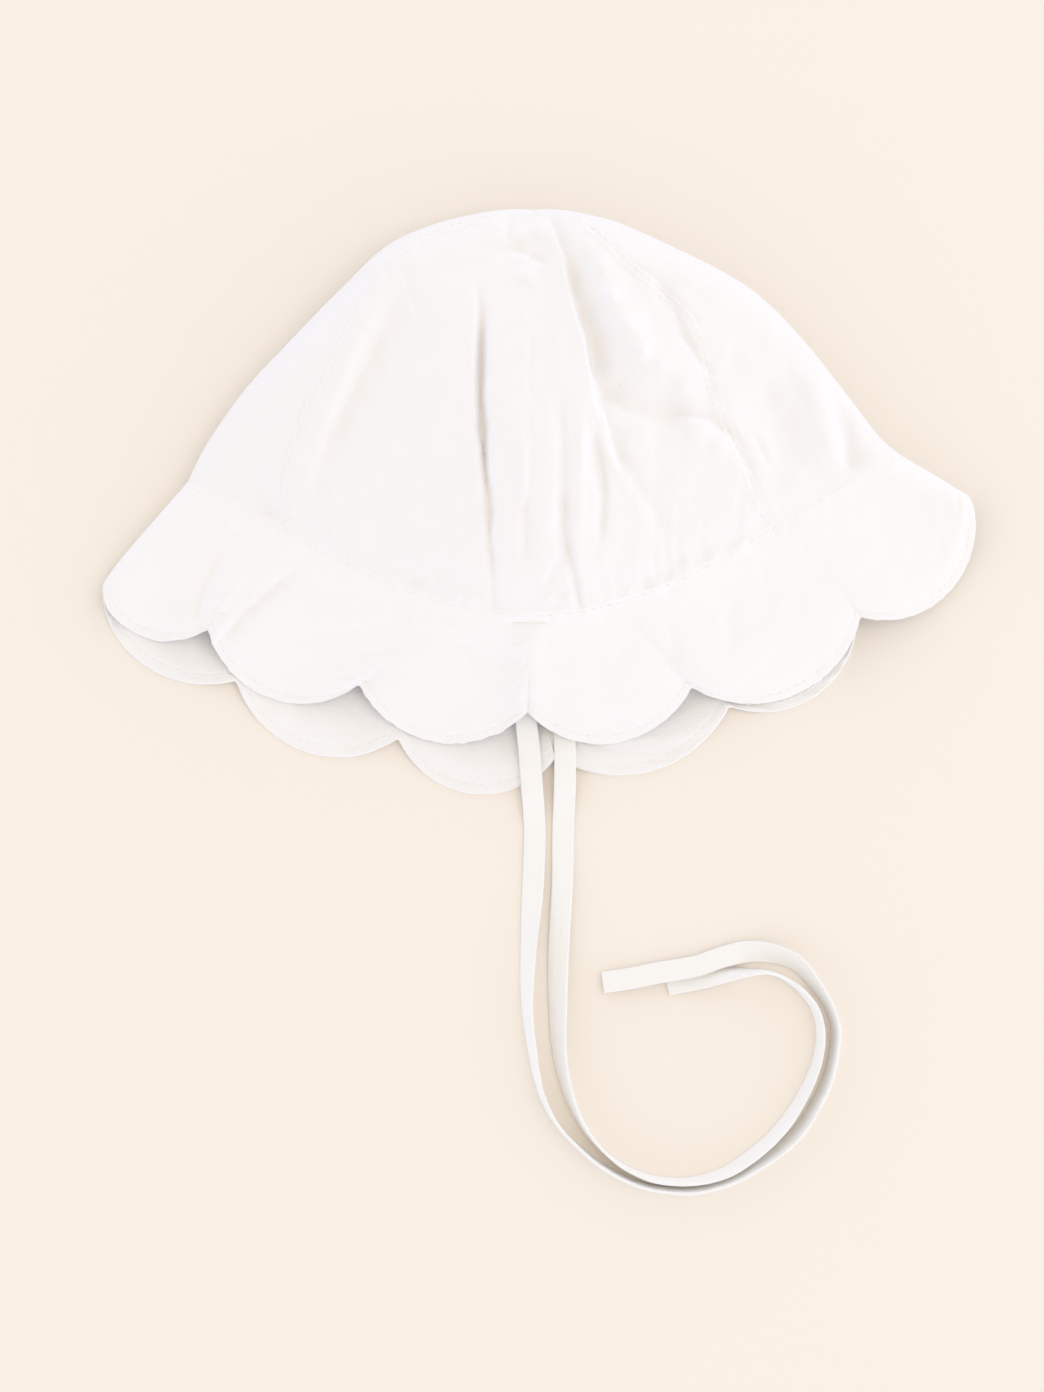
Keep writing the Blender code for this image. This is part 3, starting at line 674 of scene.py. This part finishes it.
def base_surface(downs, loops):
    """The outer surface as rows of points, with the creases but without the sewing."""
    points, lifts = zip(*(hat_points(down, loops) for down in downs))
    points, lifts = np.array(points), np.array(lifts)
    share = np.clip(np.asarray(downs) / TIP_REACH, 0.0, 1.0)
    kept = TIP_HOLE + (1 - TIP_HOLE) * share * (2 - share)
    tip = tip_point()
    points = tip + (points - tip) * kept[:, None, None]
    folded = points.copy()
    folded[..., 2] -= CROWN_HEIGHT * fold_depth(picture(points)) * lifts
    return folded, points, lifts


def normals(points):
    """The outward direction at each point of a grid."""
    across = np.gradient(points, axis=1)
    along = np.gradient(points, axis=0)
    normal = np.cross(along, across)
    return normal / np.maximum(np.linalg.norm(normal, axis=-1, keepdims=True), NEARLY_ZERO)


def run_lengths(points, axis):
    """The distance walked over the surface from its first row or column."""
    steps = np.linalg.norm(np.diff(points, axis=axis), axis=-1)
    walked = np.cumsum(steps, axis=axis)
    first = np.zeros_like(np.take(walked, [0], axis=axis))
    return np.concatenate([first, walked], axis=axis)


def walk(reach, values, places):
    """The values at each place along a line. Each value's own place is in reach."""
    return np.column_stack([np.interp(places, reach, values[:, axis]) for axis in range(3)])


def border(rows, columns):
    """The grid's edge once round, as row and column numbers, and its inner neighbours."""
    edge = [(r, 0, r, 1) for r in range(rows)]
    edge += [(rows, c, rows - 1, c) for c in range(columns)]
    edge += [(r, columns, r, columns - 1) for r in range(rows, 0, -1)]
    edge += [(0, c, 1, c) for c in range(columns, 0, -1)]
    return np.array(edge).T


def link(name, mesh, material):
    """A smooth-shaded piece that rides on the part's one body."""
    mesh.materials.append(material)
    mesh.shade_smooth()
    mesh.set_sharp_from_angle(angle=math.radians(SHARP_ANGLE))
    piece = bpy.data.objects.new(name, mesh)
    bpy.context.scene.collection.objects.link(piece)
    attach(piece, "root")
    return piece


def cloth_piece(node, outer, inner, cloth_uv, material):
    """A closed wall between two surfaces, with a rounded edge."""
    rows, columns = outer.shape[0] - 1, outer.shape[1] - 1
    r, c, inner_r, inner_c = border(rows, columns)
    away = outer[r, c] - outer[inner_r, inner_c]
    away /= np.maximum(np.linalg.norm(away, axis=-1, keepdims=True), NEARLY_ZERO)
    wall = np.linalg.norm(outer[r, c] - inner[r, c], axis=-1, keepdims=True)
    middle = (outer[r, c] + inner[r, c]) / 2 + away * wall * RIM_ROUNDING
    middle[:, 2] = np.maximum(middle[:, 2], wall[:, 0] * RIM_ROUNDING)
    count = (rows + 1) * (columns + 1)
    index = np.arange(count).reshape(rows + 1, columns + 1)
    corners = np.stack(
        [index[:-1, :-1], index[1:, :-1], index[1:, 1:], index[:-1, 1:]], axis=-1).reshape(-1, 4)
    edge = index[r, c]
    rim = 2 * count + np.arange(len(edge))
    next_edge, next_rim = np.roll(edge, -1), np.roll(rim, -1)
    faces = np.concatenate([
        corners,
        corners[:, ::-1] + count,
        np.stack([next_edge, edge, rim, next_rim], axis=-1),
        np.stack([next_rim, rim, edge + count, next_edge + count], axis=-1),
    ])
    vertices = np.concatenate([outer.reshape(-1, 3), inner.reshape(-1, 3), middle])
    flat = cloth_uv.reshape(-1, 2)
    vertex_uv = np.concatenate([flat, flat, flat[edge]])
    mesh = bpy.data.meshes.new(node)
    mesh.from_pydata(vertices.tolist(), [], faces.tolist())
    mesh.uv_layers.new(name="cloth").data.foreach_set("uv", vertex_uv[faces.ravel()].ravel())
    piece = link("cloth_" + node, mesh, material)
    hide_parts(node)
    return piece


def cloth_places(points):
    """Each point's place on the cloth in centimetres, from the middle of its top edge."""
    across = run_lengths(points, 1)
    across -= across[:, -1:] / 2
    along = run_lengths(points, 0).mean(axis=1, keepdims=True) + np.zeros_like(across)
    return np.stack([across, along], axis=-1) * 100


def near(distance, reach):
    """A share that falls from 1 as the distance grows, slowly beyond the reach."""
    return np.exp(-distance / reach)


def ends_at(distance, width):
    """A share that goes from 1 to 0 where the distance passes 0, over about the width."""
    return (1 - np.tanh(distance / width / 2)) / 2


def dip(distance, width):
    """A smooth bump of height 1 round distance 0."""
    return np.exp(-(distance / width) ** 2)


def crown_relief(row, seed, points):
    """How far the sewing and the small wrinkles lift the cloth, in metres."""
    across = run_lengths(points, 1)
    from_start, from_end = across, across[:, -1:] - across
    along = run_lengths(points, 0)
    to_brim = along[-1:] - along
    seam = np.minimum(from_start, from_end)
    sewn = 1 - near(to_brim, GATHER_START)
    clear = (1 - near(seam, SEAM_CLEAR)) * sewn
    side = np.where(from_start < from_end, 0.0, OTHER_SEAM)
    relief = -SEAM_DIP * dip(seam, SEAM_DIP_WIDTH)
    relief += PUCKER_DEPTH * near(seam, PUCKER_REACH) * clear * ripple(
        seed, along / PUCKER_STEP, side + seam / PUCKER_WIDTH)
    relief += WRINKLE_DEPTH * row.wrinkled * clear * ripple(
        seed + 1, from_start / WRINKLE_WIDTH, along / WRINKLE_LENGTH)
    relief += WRINKLE_DEPTH * row.wrinkled * FINE_WRINKLE_SHARE * clear * ripple(
        seed + 2, from_start / WRINKLE_WIDTH * FINE_WRINKLES_ACROSS,
        along / WRINKLE_LENGTH * FINE_WRINKLES_ALONG)
    relief += CRUMPLE_DEPTH * clear * ripple(
        seed + 3, from_start / CRUMPLE_SIZE, along / CRUMPLE_SIZE)
    reach = GATHER_REACH * (1 + REACH_CHANGE * ripple(
        seed + 4, from_start / REACH_CHANGE_STEP, to_brim * 0))
    phase = from_start / GATHER_STEP + PHASE_CHANGE * ripple(
        seed + 5, from_start / PHASE_CHANGE_ACROSS, to_brim / PHASE_CHANGE_ALONG)
    lumps = np.cos(2 * math.pi * phase) + LUMP_CHANGE * ripple(
        seed + 6, phase * LUMP_CHANGES_PER_GATHER, to_brim / LUMP_CHANGE_ALONG)
    lively = LIVELY + LIVELY_CHANGE * ripple(seed + 7, from_start / LIVELY_STEP, to_brim * 0)
    gathered = GATHER_DEPTH * row.wrinkled * GATHER_SHARE * lively * near(to_brim, reach)
    relief += gathered * lumps * clear
    relief -= SEAM_DIP * dip(to_brim, SEAM_DIP_WIDTH)
    if row.fell != "none":
        gap = from_start if row.fell == "start" else from_end
        relief += row.fell_raise * ends_at(gap - FELL_WIDTH, FELL_EDGE)
        relief -= SEAM_DIP * FELL_DIP_SHARE * dip(gap - FELL_WIDTH, FELL_DIP_WIDTH)
    return relief * np.minimum(1.0, along / TIP_CLEAR)


def brim_relief(seed, points):
    """How far the hem, the puckers and the wrinkles lift the brim's cloth, in metres."""
    across = run_lengths(points, 1)
    along = run_lengths(points, 0)
    to_edge = along[-1:] - along
    relief = -SEAM_DIP * dip(along, SEAM_DIP_WIDTH)
    sewn = 1 - near(along, BRIM_SEAM_CLEAR)
    relief += BRIM_PUCKER_DEPTH * sewn * near(along, BRIM_PUCKER_REACH) * ripple(
        seed, across / BRIM_PUCKER_STEP, along / BRIM_PUCKER_LENGTH)
    relief += BRIM_WRINKLE_DEPTH * ripple(
        seed + 1, across / BRIM_WRINKLE_SIZE, along / BRIM_WRINKLE_SIZE) * sewn
    relief += CRUMPLE_DEPTH * BRIM_CRUMPLE_SHARE * sewn * ripple(
        seed + 2, across / CRUMPLE_SIZE, along / CRUMPLE_SIZE)
    relief -= HEM_DIP * dip(to_edge - HEM_LINE, HEM_DIP_WIDTH)
    relief += HEM_PUCKER_DEPTH * near(to_edge, 2 * HEM_LINE) * ripple(
        seed + 3, across / HEM_PUCKER_STEP, to_edge / HEM_PUCKER_LENGTH)
    return relief


def stitch_line(points, normal):
    """The start, end and upward direction of each stitch along a line of points."""
    reach = run_lengths(points, 0)
    starts = np.arange(STITCH_PITCH, reach[-1] - STITCH_PITCH, STITCH_PITCH)
    ends = starts + STITCH_LENGTH
    return walk(reach, points, starts), walk(reach, points, ends), walk(reach, normal, starts)


def stitches(name, lines, material):
    """Short rounded threads lying on the cloth."""
    starts, ends, ups = (np.concatenate(part) for part in zip(*lines))
    along = ends - starts
    direction = along / np.linalg.norm(along, axis=1, keepdims=True)
    side = np.cross(direction, ups)
    side /= np.maximum(np.linalg.norm(side, axis=1, keepdims=True), NEARLY_ZERO)
    up = np.cross(side, direction)
    angles = np.linspace(0, 2 * math.pi, THREAD_SIDES, endpoint=False)
    rings = []
    for share, width, rise in THREAD_RINGS:
        centre = starts + along * share + up * THREAD_RADIUS * rise
        ring = centre[:, None] + THREAD_RADIUS * width * (
            np.cos(angles)[None, :, None] * side[:, None]
            + np.sin(angles)[None, :, None] * up[:, None]
        )
        rings.append(ring)
    vertices = np.stack(rings, axis=1)
    one = np.arange(THREAD_SIDES)
    after = np.roll(one, -1)
    faces = []
    for stitch in range(len(starts)):
        first = stitch * len(THREAD_RINGS) * THREAD_SIDES
        for ring in range(len(THREAD_RINGS) - 1):
            low, high = first + ring * THREAD_SIDES, first + (ring + 1) * THREAD_SIDES
            faces += [
                [int(low + a), int(low + b), int(high + b), int(high + a)]
                for a, b in zip(one, after)
            ]
        faces.append([int(first + a) for a in one[::-1]])
        faces.append([int(high + a) for a in one])
    mesh = bpy.data.meshes.new(name)
    mesh.from_pydata(vertices.reshape(-1, 3).tolist(), [], faces)
    link(name, mesh, material)


def across_line(surface, normal, distance, from_end):
    """The line on the surface that stays a set distance from one of its side seams."""
    walked = run_lengths(surface, 1)
    if from_end:
        walked = walked[:, -1:] - walked
        surface, normal, walked = surface[:, ::-1], normal[:, ::-1], walked[:, ::-1]
    rows = [row for row in range(len(surface)) if walked[row, -1] > 3 * distance + STITCH_CLEAR]

    def at(values):
        return np.concatenate([walk(walked[row], values[row], [distance]) for row in rows])
    return at(surface), at(normal)


def edge_line(surface, normal, distance):
    """The line on the brim that stays a set distance from its scalloped edge."""
    walked = run_lengths(surface, 0)
    left = (walked[-1:] - walked)[::-1]
    places = range(surface.shape[1])

    def at(values):
        return np.concatenate([
            walk(left[:, place], values[::-1, place], [distance]) for place in places
        ])
    return at(surface), at(normal)


def crown_panel(row, seed, material):
    """One panel of the crown. Returns the stitch lines of its felled seam."""
    loops = np.linspace(row.start, row.end, row.columns + 1)
    base, unfolded, lifts = base_surface(np.linspace(0.0, 1.0, row.rows + 1), loops)
    relief = crown_relief(row, seed, unfolded) * lifts
    outer = base + normals(base) * relief[..., None]
    outer[..., 2] = np.maximum(outer[..., 2], 0.0)
    normal = normals(outer)
    inner = outer - normal * CROWN_WALL
    piece = cloth_piece(row.name, outer, inner, cloth_places(unfolded), material)
    lines = []
    if row.fell != "none":
        end = row.fell == "end"
        lines.append(stitch_line(*across_line(outer, normal, FELL_STITCH, end)))
        lines.append(stitch_line(*across_line(outer, normal, SEAM_STITCH, end)))
    return lines


def brim_half(name, start, end, seed, material):
    """One half of the brim, both layers. Returns its stitch lines."""
    loops = np.linspace(start, end, BRIM_COLUMNS + 1)
    base, unfolded, lifts = base_surface(np.linspace(1.0, 2.0, BRIM_ROWS + 1), loops)
    from_tack = np.linalg.norm((picture(base) - TACK_MIDDLE) / TACK_HOLD, axis=-1)
    relief = brim_relief(seed, unfolded) * (1 - ends_at(from_tack - 1, TACK_FADE))
    lower = (loops < 0) | (loops > 1)
    outer = base + normals(base) * (relief * lifts)[..., None]
    outer[..., 2] = np.maximum(outer[..., 2], 0.0)
    normal = normals(outer)
    wall = BRIM_WALL + np.where(lower, relief, 0.0)
    inner = outer - normal * wall[..., None]
    piece = cloth_piece(name, outer, inner, cloth_places(unfolded), material)
    seen = np.where(lower[None, :, None], inner, outer)
    facing = np.where(lower[None, :, None], -normal, normal)
    halves = [np.flatnonzero(lower), np.flatnonzero(~lower)]
    lines = []
    for half in halves:
        surface, upward = seen[:, half], facing[:, half]
        lines.append(stitch_line(*edge_line(surface, upward, HEM_LINE)))
    on_top = halves[1]
    top, upward = seen[:, on_top], facing[:, on_top]
    lines.append(stitch_line(*edge_line(top[::-1], upward[::-1], BRIM_SEAM_STITCH)))
    return lines


def bar_tack():
    """Threads side by side across the top of the brim's centre seam."""
    surface = base_surface(np.linspace(*TACK_DOWNS), np.linspace(*TACK_LOOPS))[0]
    upward = normals(surface).reshape(-1, 3)
    surface = surface.reshape(-1, 3)
    seen = picture(surface)

    def nearest(across, down):
        gaps = np.linalg.norm(seen[None] - np.column_stack([across, down])[:, None], axis=-1)
        return gaps.argmin(axis=1)
    across = np.linspace(TACK_LEFT, TACK_RIGHT, TACK_THREADS)
    top = nearest(across, np.full_like(across, TACK_TOP))
    foot = nearest(across, np.full_like(across, TACK_FOOT))
    raised = surface + upward * TACK_RAISE
    return raised[top], raised[foot], upward[top]


def tie_route(rows):
    """A tie's centre line and its turn, at even distances along a smooth curve."""
    half = TIE_THICKNESS / 2
    knots = np.arange(len(rows), dtype=float)
    fine = np.linspace(0.0, knots[-1], CURVE_SAMPLES * len(rows))
    turn = np.radians(smooth(knots, [row.turn for row in rows], fine))
    x = HAT_WIDTH * curved(knots, [row.x for row in rows], fine)
    y = HAT_LENGTH * curved(knots, [row.y for row in rows], fine)
    over_brim = (SOLID_BRIM_WALL + TIE_CLEARANCE) * smooth(knots, [row.on for row in rows], fine)
    rise = CROWN_HEIGHT * smooth(knots, [row.rise for row in rows], fine)
    z = over_brim + rise + half + (TIE_WIDTH / 2 - half) * np.abs(np.sin(turn))
    places = np.column_stack([x, y, z])
    reach = run_lengths(places, 0)
    even = np.linspace(0.0, reach[-1], round(reach[-1] / TIE_SPACING) + 1)
    return walk(reach, places, even), np.interp(even, reach, turn), even


def tie(name, rows, seed, material):
    """A flat sewn tape with rounded edges, a sewn line near each and a square end."""
    points, turns, reach = tie_route(rows)
    forward = np.gradient(points, axis=0)
    forward /= np.linalg.norm(forward, axis=1, keepdims=True)
    level = np.cross([0.0, 0.0, 1.0], forward)
    level /= np.linalg.norm(level, axis=1, keepdims=True)
    upright = np.cross(forward, level)
    width_way = level * np.cos(turns)[:, None] + upright * np.sin(turns)[:, None]
    thick_way = np.cross(forward, width_way)
    half_width, half = TIE_WIDTH / 2, TIE_THICKNESS / 2
    flat = np.linspace(-(half_width - half), half_width - half, TIE_FLAT_COLUMNS)
    turn_round = np.linspace(-math.pi / 2, math.pi / 2, TIE_EDGE_COLUMNS + 2)[1:-1]
    right = np.column_stack(
        [half_width - half + half * np.cos(turn_round), half * np.sin(turn_round)])
    ring = np.concatenate([
        np.column_stack([flat, np.full_like(flat, -half)]),
        right,
        np.column_stack([flat[::-1], np.full_like(flat, half)]),
        -right,
    ])
    from_side = half_width - np.abs(ring[:, 0])
    groove = TIE_SEAM_DIP * dip(from_side - TIE_SEAM, TIE_SEAM_WIDTH)
    from_middle, up_side = ring[None, :, 0], np.sign(ring[None, :, 1])
    crumple = TIE_WRINKLE * ripple(
        seed, reach[:, None] / TIE_WRINKLE_STEP,
        TIE_NOISE_START + from_middle / TIE_WRINKLE_WIDTH + TIE_OTHER_SIDE * (up_side > 0))
    hem = HEM_RAISE * ends_at(reach[-1] - TIE_HEM - reach, TIE_HEM_EDGE)
    height = (ring[None, :, 1] - up_side * groove[None]) * (1 - 2 * HEM_RAISE / TIE_THICKNESS)
    height = height + up_side * hem[:, None] - np.abs(crumple) * up_side
    shell = (
        points[:, None] + width_way[:, None] * ring[None, :, :1]
        + thick_way[:, None] * height[..., None]
    )
    count, around = shell.shape[:2]
    index = np.arange(count * around).reshape(count, around)
    beside = np.roll(index, -1, axis=1)
    faces = np.stack([index[:-1], index[1:], beside[1:], beside[:-1]], axis=-1)
    faces = faces.reshape(-1, 4).tolist()
    faces.append(index[0].tolist())
    faces.append(index[-1][::-1].tolist())
    mesh = bpy.data.meshes.new(name)
    mesh.from_pydata(shell.reshape(-1, 3).tolist(), [], faces)
    uv = np.stack(np.broadcast_arrays(from_middle, reach[:, None]), axis=-1).reshape(-1, 2) * 100
    loop_vertices = np.zeros(len(mesh.loops), dtype=np.int64)
    mesh.loops.foreach_get("vertex_index", loop_vertices)
    mesh.uv_layers.new(name="cloth").data.foreach_set("uv", uv[loop_vertices].ravel())
    piece = link("cloth_" + name, mesh, material)
    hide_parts(name)


def camera():
    """The camera looks straight down, as the photograph does."""
    data = bpy.data.cameras.new("camera")
    data.lens = LENS
    data.sensor_width = SENSOR
    view = bpy.data.objects.new("camera", data)
    bpy.context.scene.collection.objects.link(view)
    bpy.context.scene.camera = view
    view.location = (CAMERA_X, CAMERA_Y, CAMERA_HEIGHT)


def node(material, kind, **values):
    """A shader node with its sockets and settings given by name."""
    made = material.node_tree.nodes.new(kind)
    for name, value in values.items():
        if name in made.inputs:
            made.inputs[name].default_value = value
        else:
            setattr(made, name, value)
    return made


def blend_colours(material, share, low, high):
    """A colour between two, by a share that a socket gives."""
    mix = material.node_tree.nodes.new("ShaderNodeMix")
    mix.data_type = "RGBA"
    mix.inputs["A"].default_value = low
    mix.inputs["B"].default_value = high
    material.node_tree.links.new(share, mix.inputs["Factor"])
    return mix.outputs["Result"]


def sum_of(material, first, second, operation="ADD"):
    """Two sockets or numbers put through one sum."""
    add = node(material, "ShaderNodeMath", operation=operation)
    for socket, value in zip(add.inputs, (first, second)):
        if isinstance(value, (int, float)):
            socket.default_value = value
        else:
            material.node_tree.links.new(value, socket)
    return add.outputs[0]


def stretched(material, place, across, along):
    """The place on the cloth with each direction scaled by itself."""
    mapping = node(material, "ShaderNodeMapping")
    mapping.inputs["Scale"].default_value = (across, along, 1.0)
    material.node_tree.links.new(place, mapping.inputs["Vector"])
    return mapping.outputs["Vector"]


def noise(material, place, scale=1.0, detail=2.0):
    """Soft noise over the cloth."""
    made = node(material, "ShaderNodeTexNoise", Scale=scale, Detail=detail)
    material.node_tree.links.new(place, made.inputs["Vector"])
    return made.outputs["Fac"]


def threads(material, place, way):
    """The rise and fall of the threads that lie side by side in one direction."""
    wave = node(material, "ShaderNodeTexWave", wave_type="BANDS", bands_direction=way,
                Scale=WEAVE_SCALE, Distortion=WEAVE_WAVER, Detail=1.0)
    wave.inputs["Detail Scale"].default_value = WEAVE_DETAIL
    material.node_tree.links.new(place, wave.inputs["Vector"])
    return sum_of(material, sum_of(material, wave.outputs["Fac"], 0.5, "SUBTRACT"), 2.0, "MULTIPLY")


def cotton(name, light_tone, deep_tone, weave):
    """Plain-weave cotton: crossing threads with slubs, a soft nap and a faint change of tone."""
    material = bpy.data.materials.new(name)
    material.use_nodes = True
    links = material.node_tree.links
    shader = material.node_tree.nodes["Principled BSDF"]
    place = node(material, "ShaderNodeUVMap", uv_map="cloth").outputs["UV"]
    warp, weft = threads(material, place, "X"), threads(material, place, "Y")
    crossing = sum_of(material, warp, weft, "MULTIPLY")
    warp_slubs = noise(material, stretched(material, place, SLUB_ACROSS, SLUB_ALONG))
    weft_slubs = noise(material, stretched(material, place, SLUB_ALONG, SLUB_ACROSS))
    slubs = sum_of(material, warp_slubs, weft_slubs)
    nap = noise(material, place, NAP_SCALE)
    height = sum_of(material, sum_of(material, crossing, WEAVE_HEIGHT, "MULTIPLY"), slubs)
    height = sum_of(material, height, sum_of(material, nap, NAP_HEIGHT, "MULTIPLY"))
    bump = node(material, "ShaderNodeBump", Strength=BUMP_STRENGTH * weave, Distance=BUMP_DISTANCE)
    links.new(height, bump.inputs["Height"])
    links.new(bump.outputs["Normal"], shader.inputs["Normal"])
    cloudy = noise(material, place, CLOUD_SCALE, detail=3.0)
    tone = sum_of(material, sum_of(material, cloudy, CLOUD_TONE, "MULTIPLY"),
                  sum_of(material, slubs, SLUB_TONE, "MULTIPLY"))
    links.new(blend_colours(material, tone, deep_tone, light_tone), shader.inputs["Base Color"])
    rough = sum_of(material, sum_of(material, slubs, SLUB_ROUGHNESS, "MULTIPLY"), ROUGHNESS)
    links.new(rough, shader.inputs["Roughness"])
    shader.inputs["Specular IOR Level"].default_value = SPECULAR
    shader.inputs["Sheen Weight"].default_value = SHEEN
    shader.inputs["Sheen Roughness"].default_value = SHEEN_ROUGHNESS
    return material


def floor():
    """The plain cream surface that the bonnet lies on."""
    bpy.ops.mesh.primitive_plane_add(size=FLOOR_SIZE, location=FLOOR_PLACE)
    table = bpy.context.object
    table.name = "table"
    material = bpy.data.materials.new("cream_surface")
    material.use_nodes = True
    shader = material.node_tree.nodes["Principled BSDF"]
    shader.inputs["Base Color"].default_value = TABLE_COLOUR
    shader.inputs["Roughness"].default_value = TABLE_ROUGHNESS
    shader.inputs["Specular IOR Level"].default_value = TABLE_SPECULAR
    table.data.materials.append(material)


def light():
    """A soft sky, brighter at its edge than overhead, and one large lamp."""
    world = bpy.data.worlds.new("studio")
    bpy.context.scene.world = world
    world.use_nodes = True
    background = world.node_tree.nodes["Background"]
    background.inputs["Strength"].default_value = SKY_STRENGTH
    direction = node(world, "ShaderNodeTexCoord").outputs["Generated"]
    split = node(world, "ShaderNodeSeparateXYZ")
    world.node_tree.links.new(direction, split.inputs[0])
    sky = blend_colours(world, split.outputs["Z"], HORIZON_COLOUR, ZENITH_COLOUR)
    world.node_tree.links.new(sky, background.inputs["Color"])
    data = bpy.data.lights.new("key", "AREA")
    data.shape = "SQUARE"
    data.size = KEY_SIZE
    data.energy = KEY_POWER
    data.color = KEY_COLOUR
    lamp = bpy.data.objects.new("key", data)
    bpy.context.scene.collection.objects.link(lamp)
    lamp.location = KEY_PLACE
    aim = Vector(KEY_AIM) - lamp.location
    lamp.rotation_mode = "QUATERNION"
    lamp.rotation_quaternion = aim.to_track_quat("-Z", "Y")
    bpy.context.scene.view_settings.view_transform = "Standard"


camera()
crown_cotton, brim_cotton, tie_cotton, thread = (cotton(*row) for row in COTTON_ROWS)
tie("tie_left", LEFT_TIE_ROWS, seed=31, material=tie_cotton)
tie("tie_right", RIGHT_TIE_ROWS, seed=37, material=tie_cotton)
floor()
crown_lines = []
for number, panel in enumerate(PANEL_ROWS):
    crown_lines += crown_panel(panel, seed=100 + 10 * number, material=crown_cotton)
# Both brim layers take the lighter copy of the cotton, painted light against the shade between the
# layers.
brim_lines = brim_half("brim_left_half", start=-0.5, end=0.5, seed=201, material=brim_cotton)
brim_lines += brim_half("brim_right_half", start=0.5, end=1.5, seed=211, material=brim_cotton)
stitches("crown_stitches", crown_lines, thread)
brim_lines.append(bar_tack())
stitches("brim_stitches", brim_lines, thread)
light()
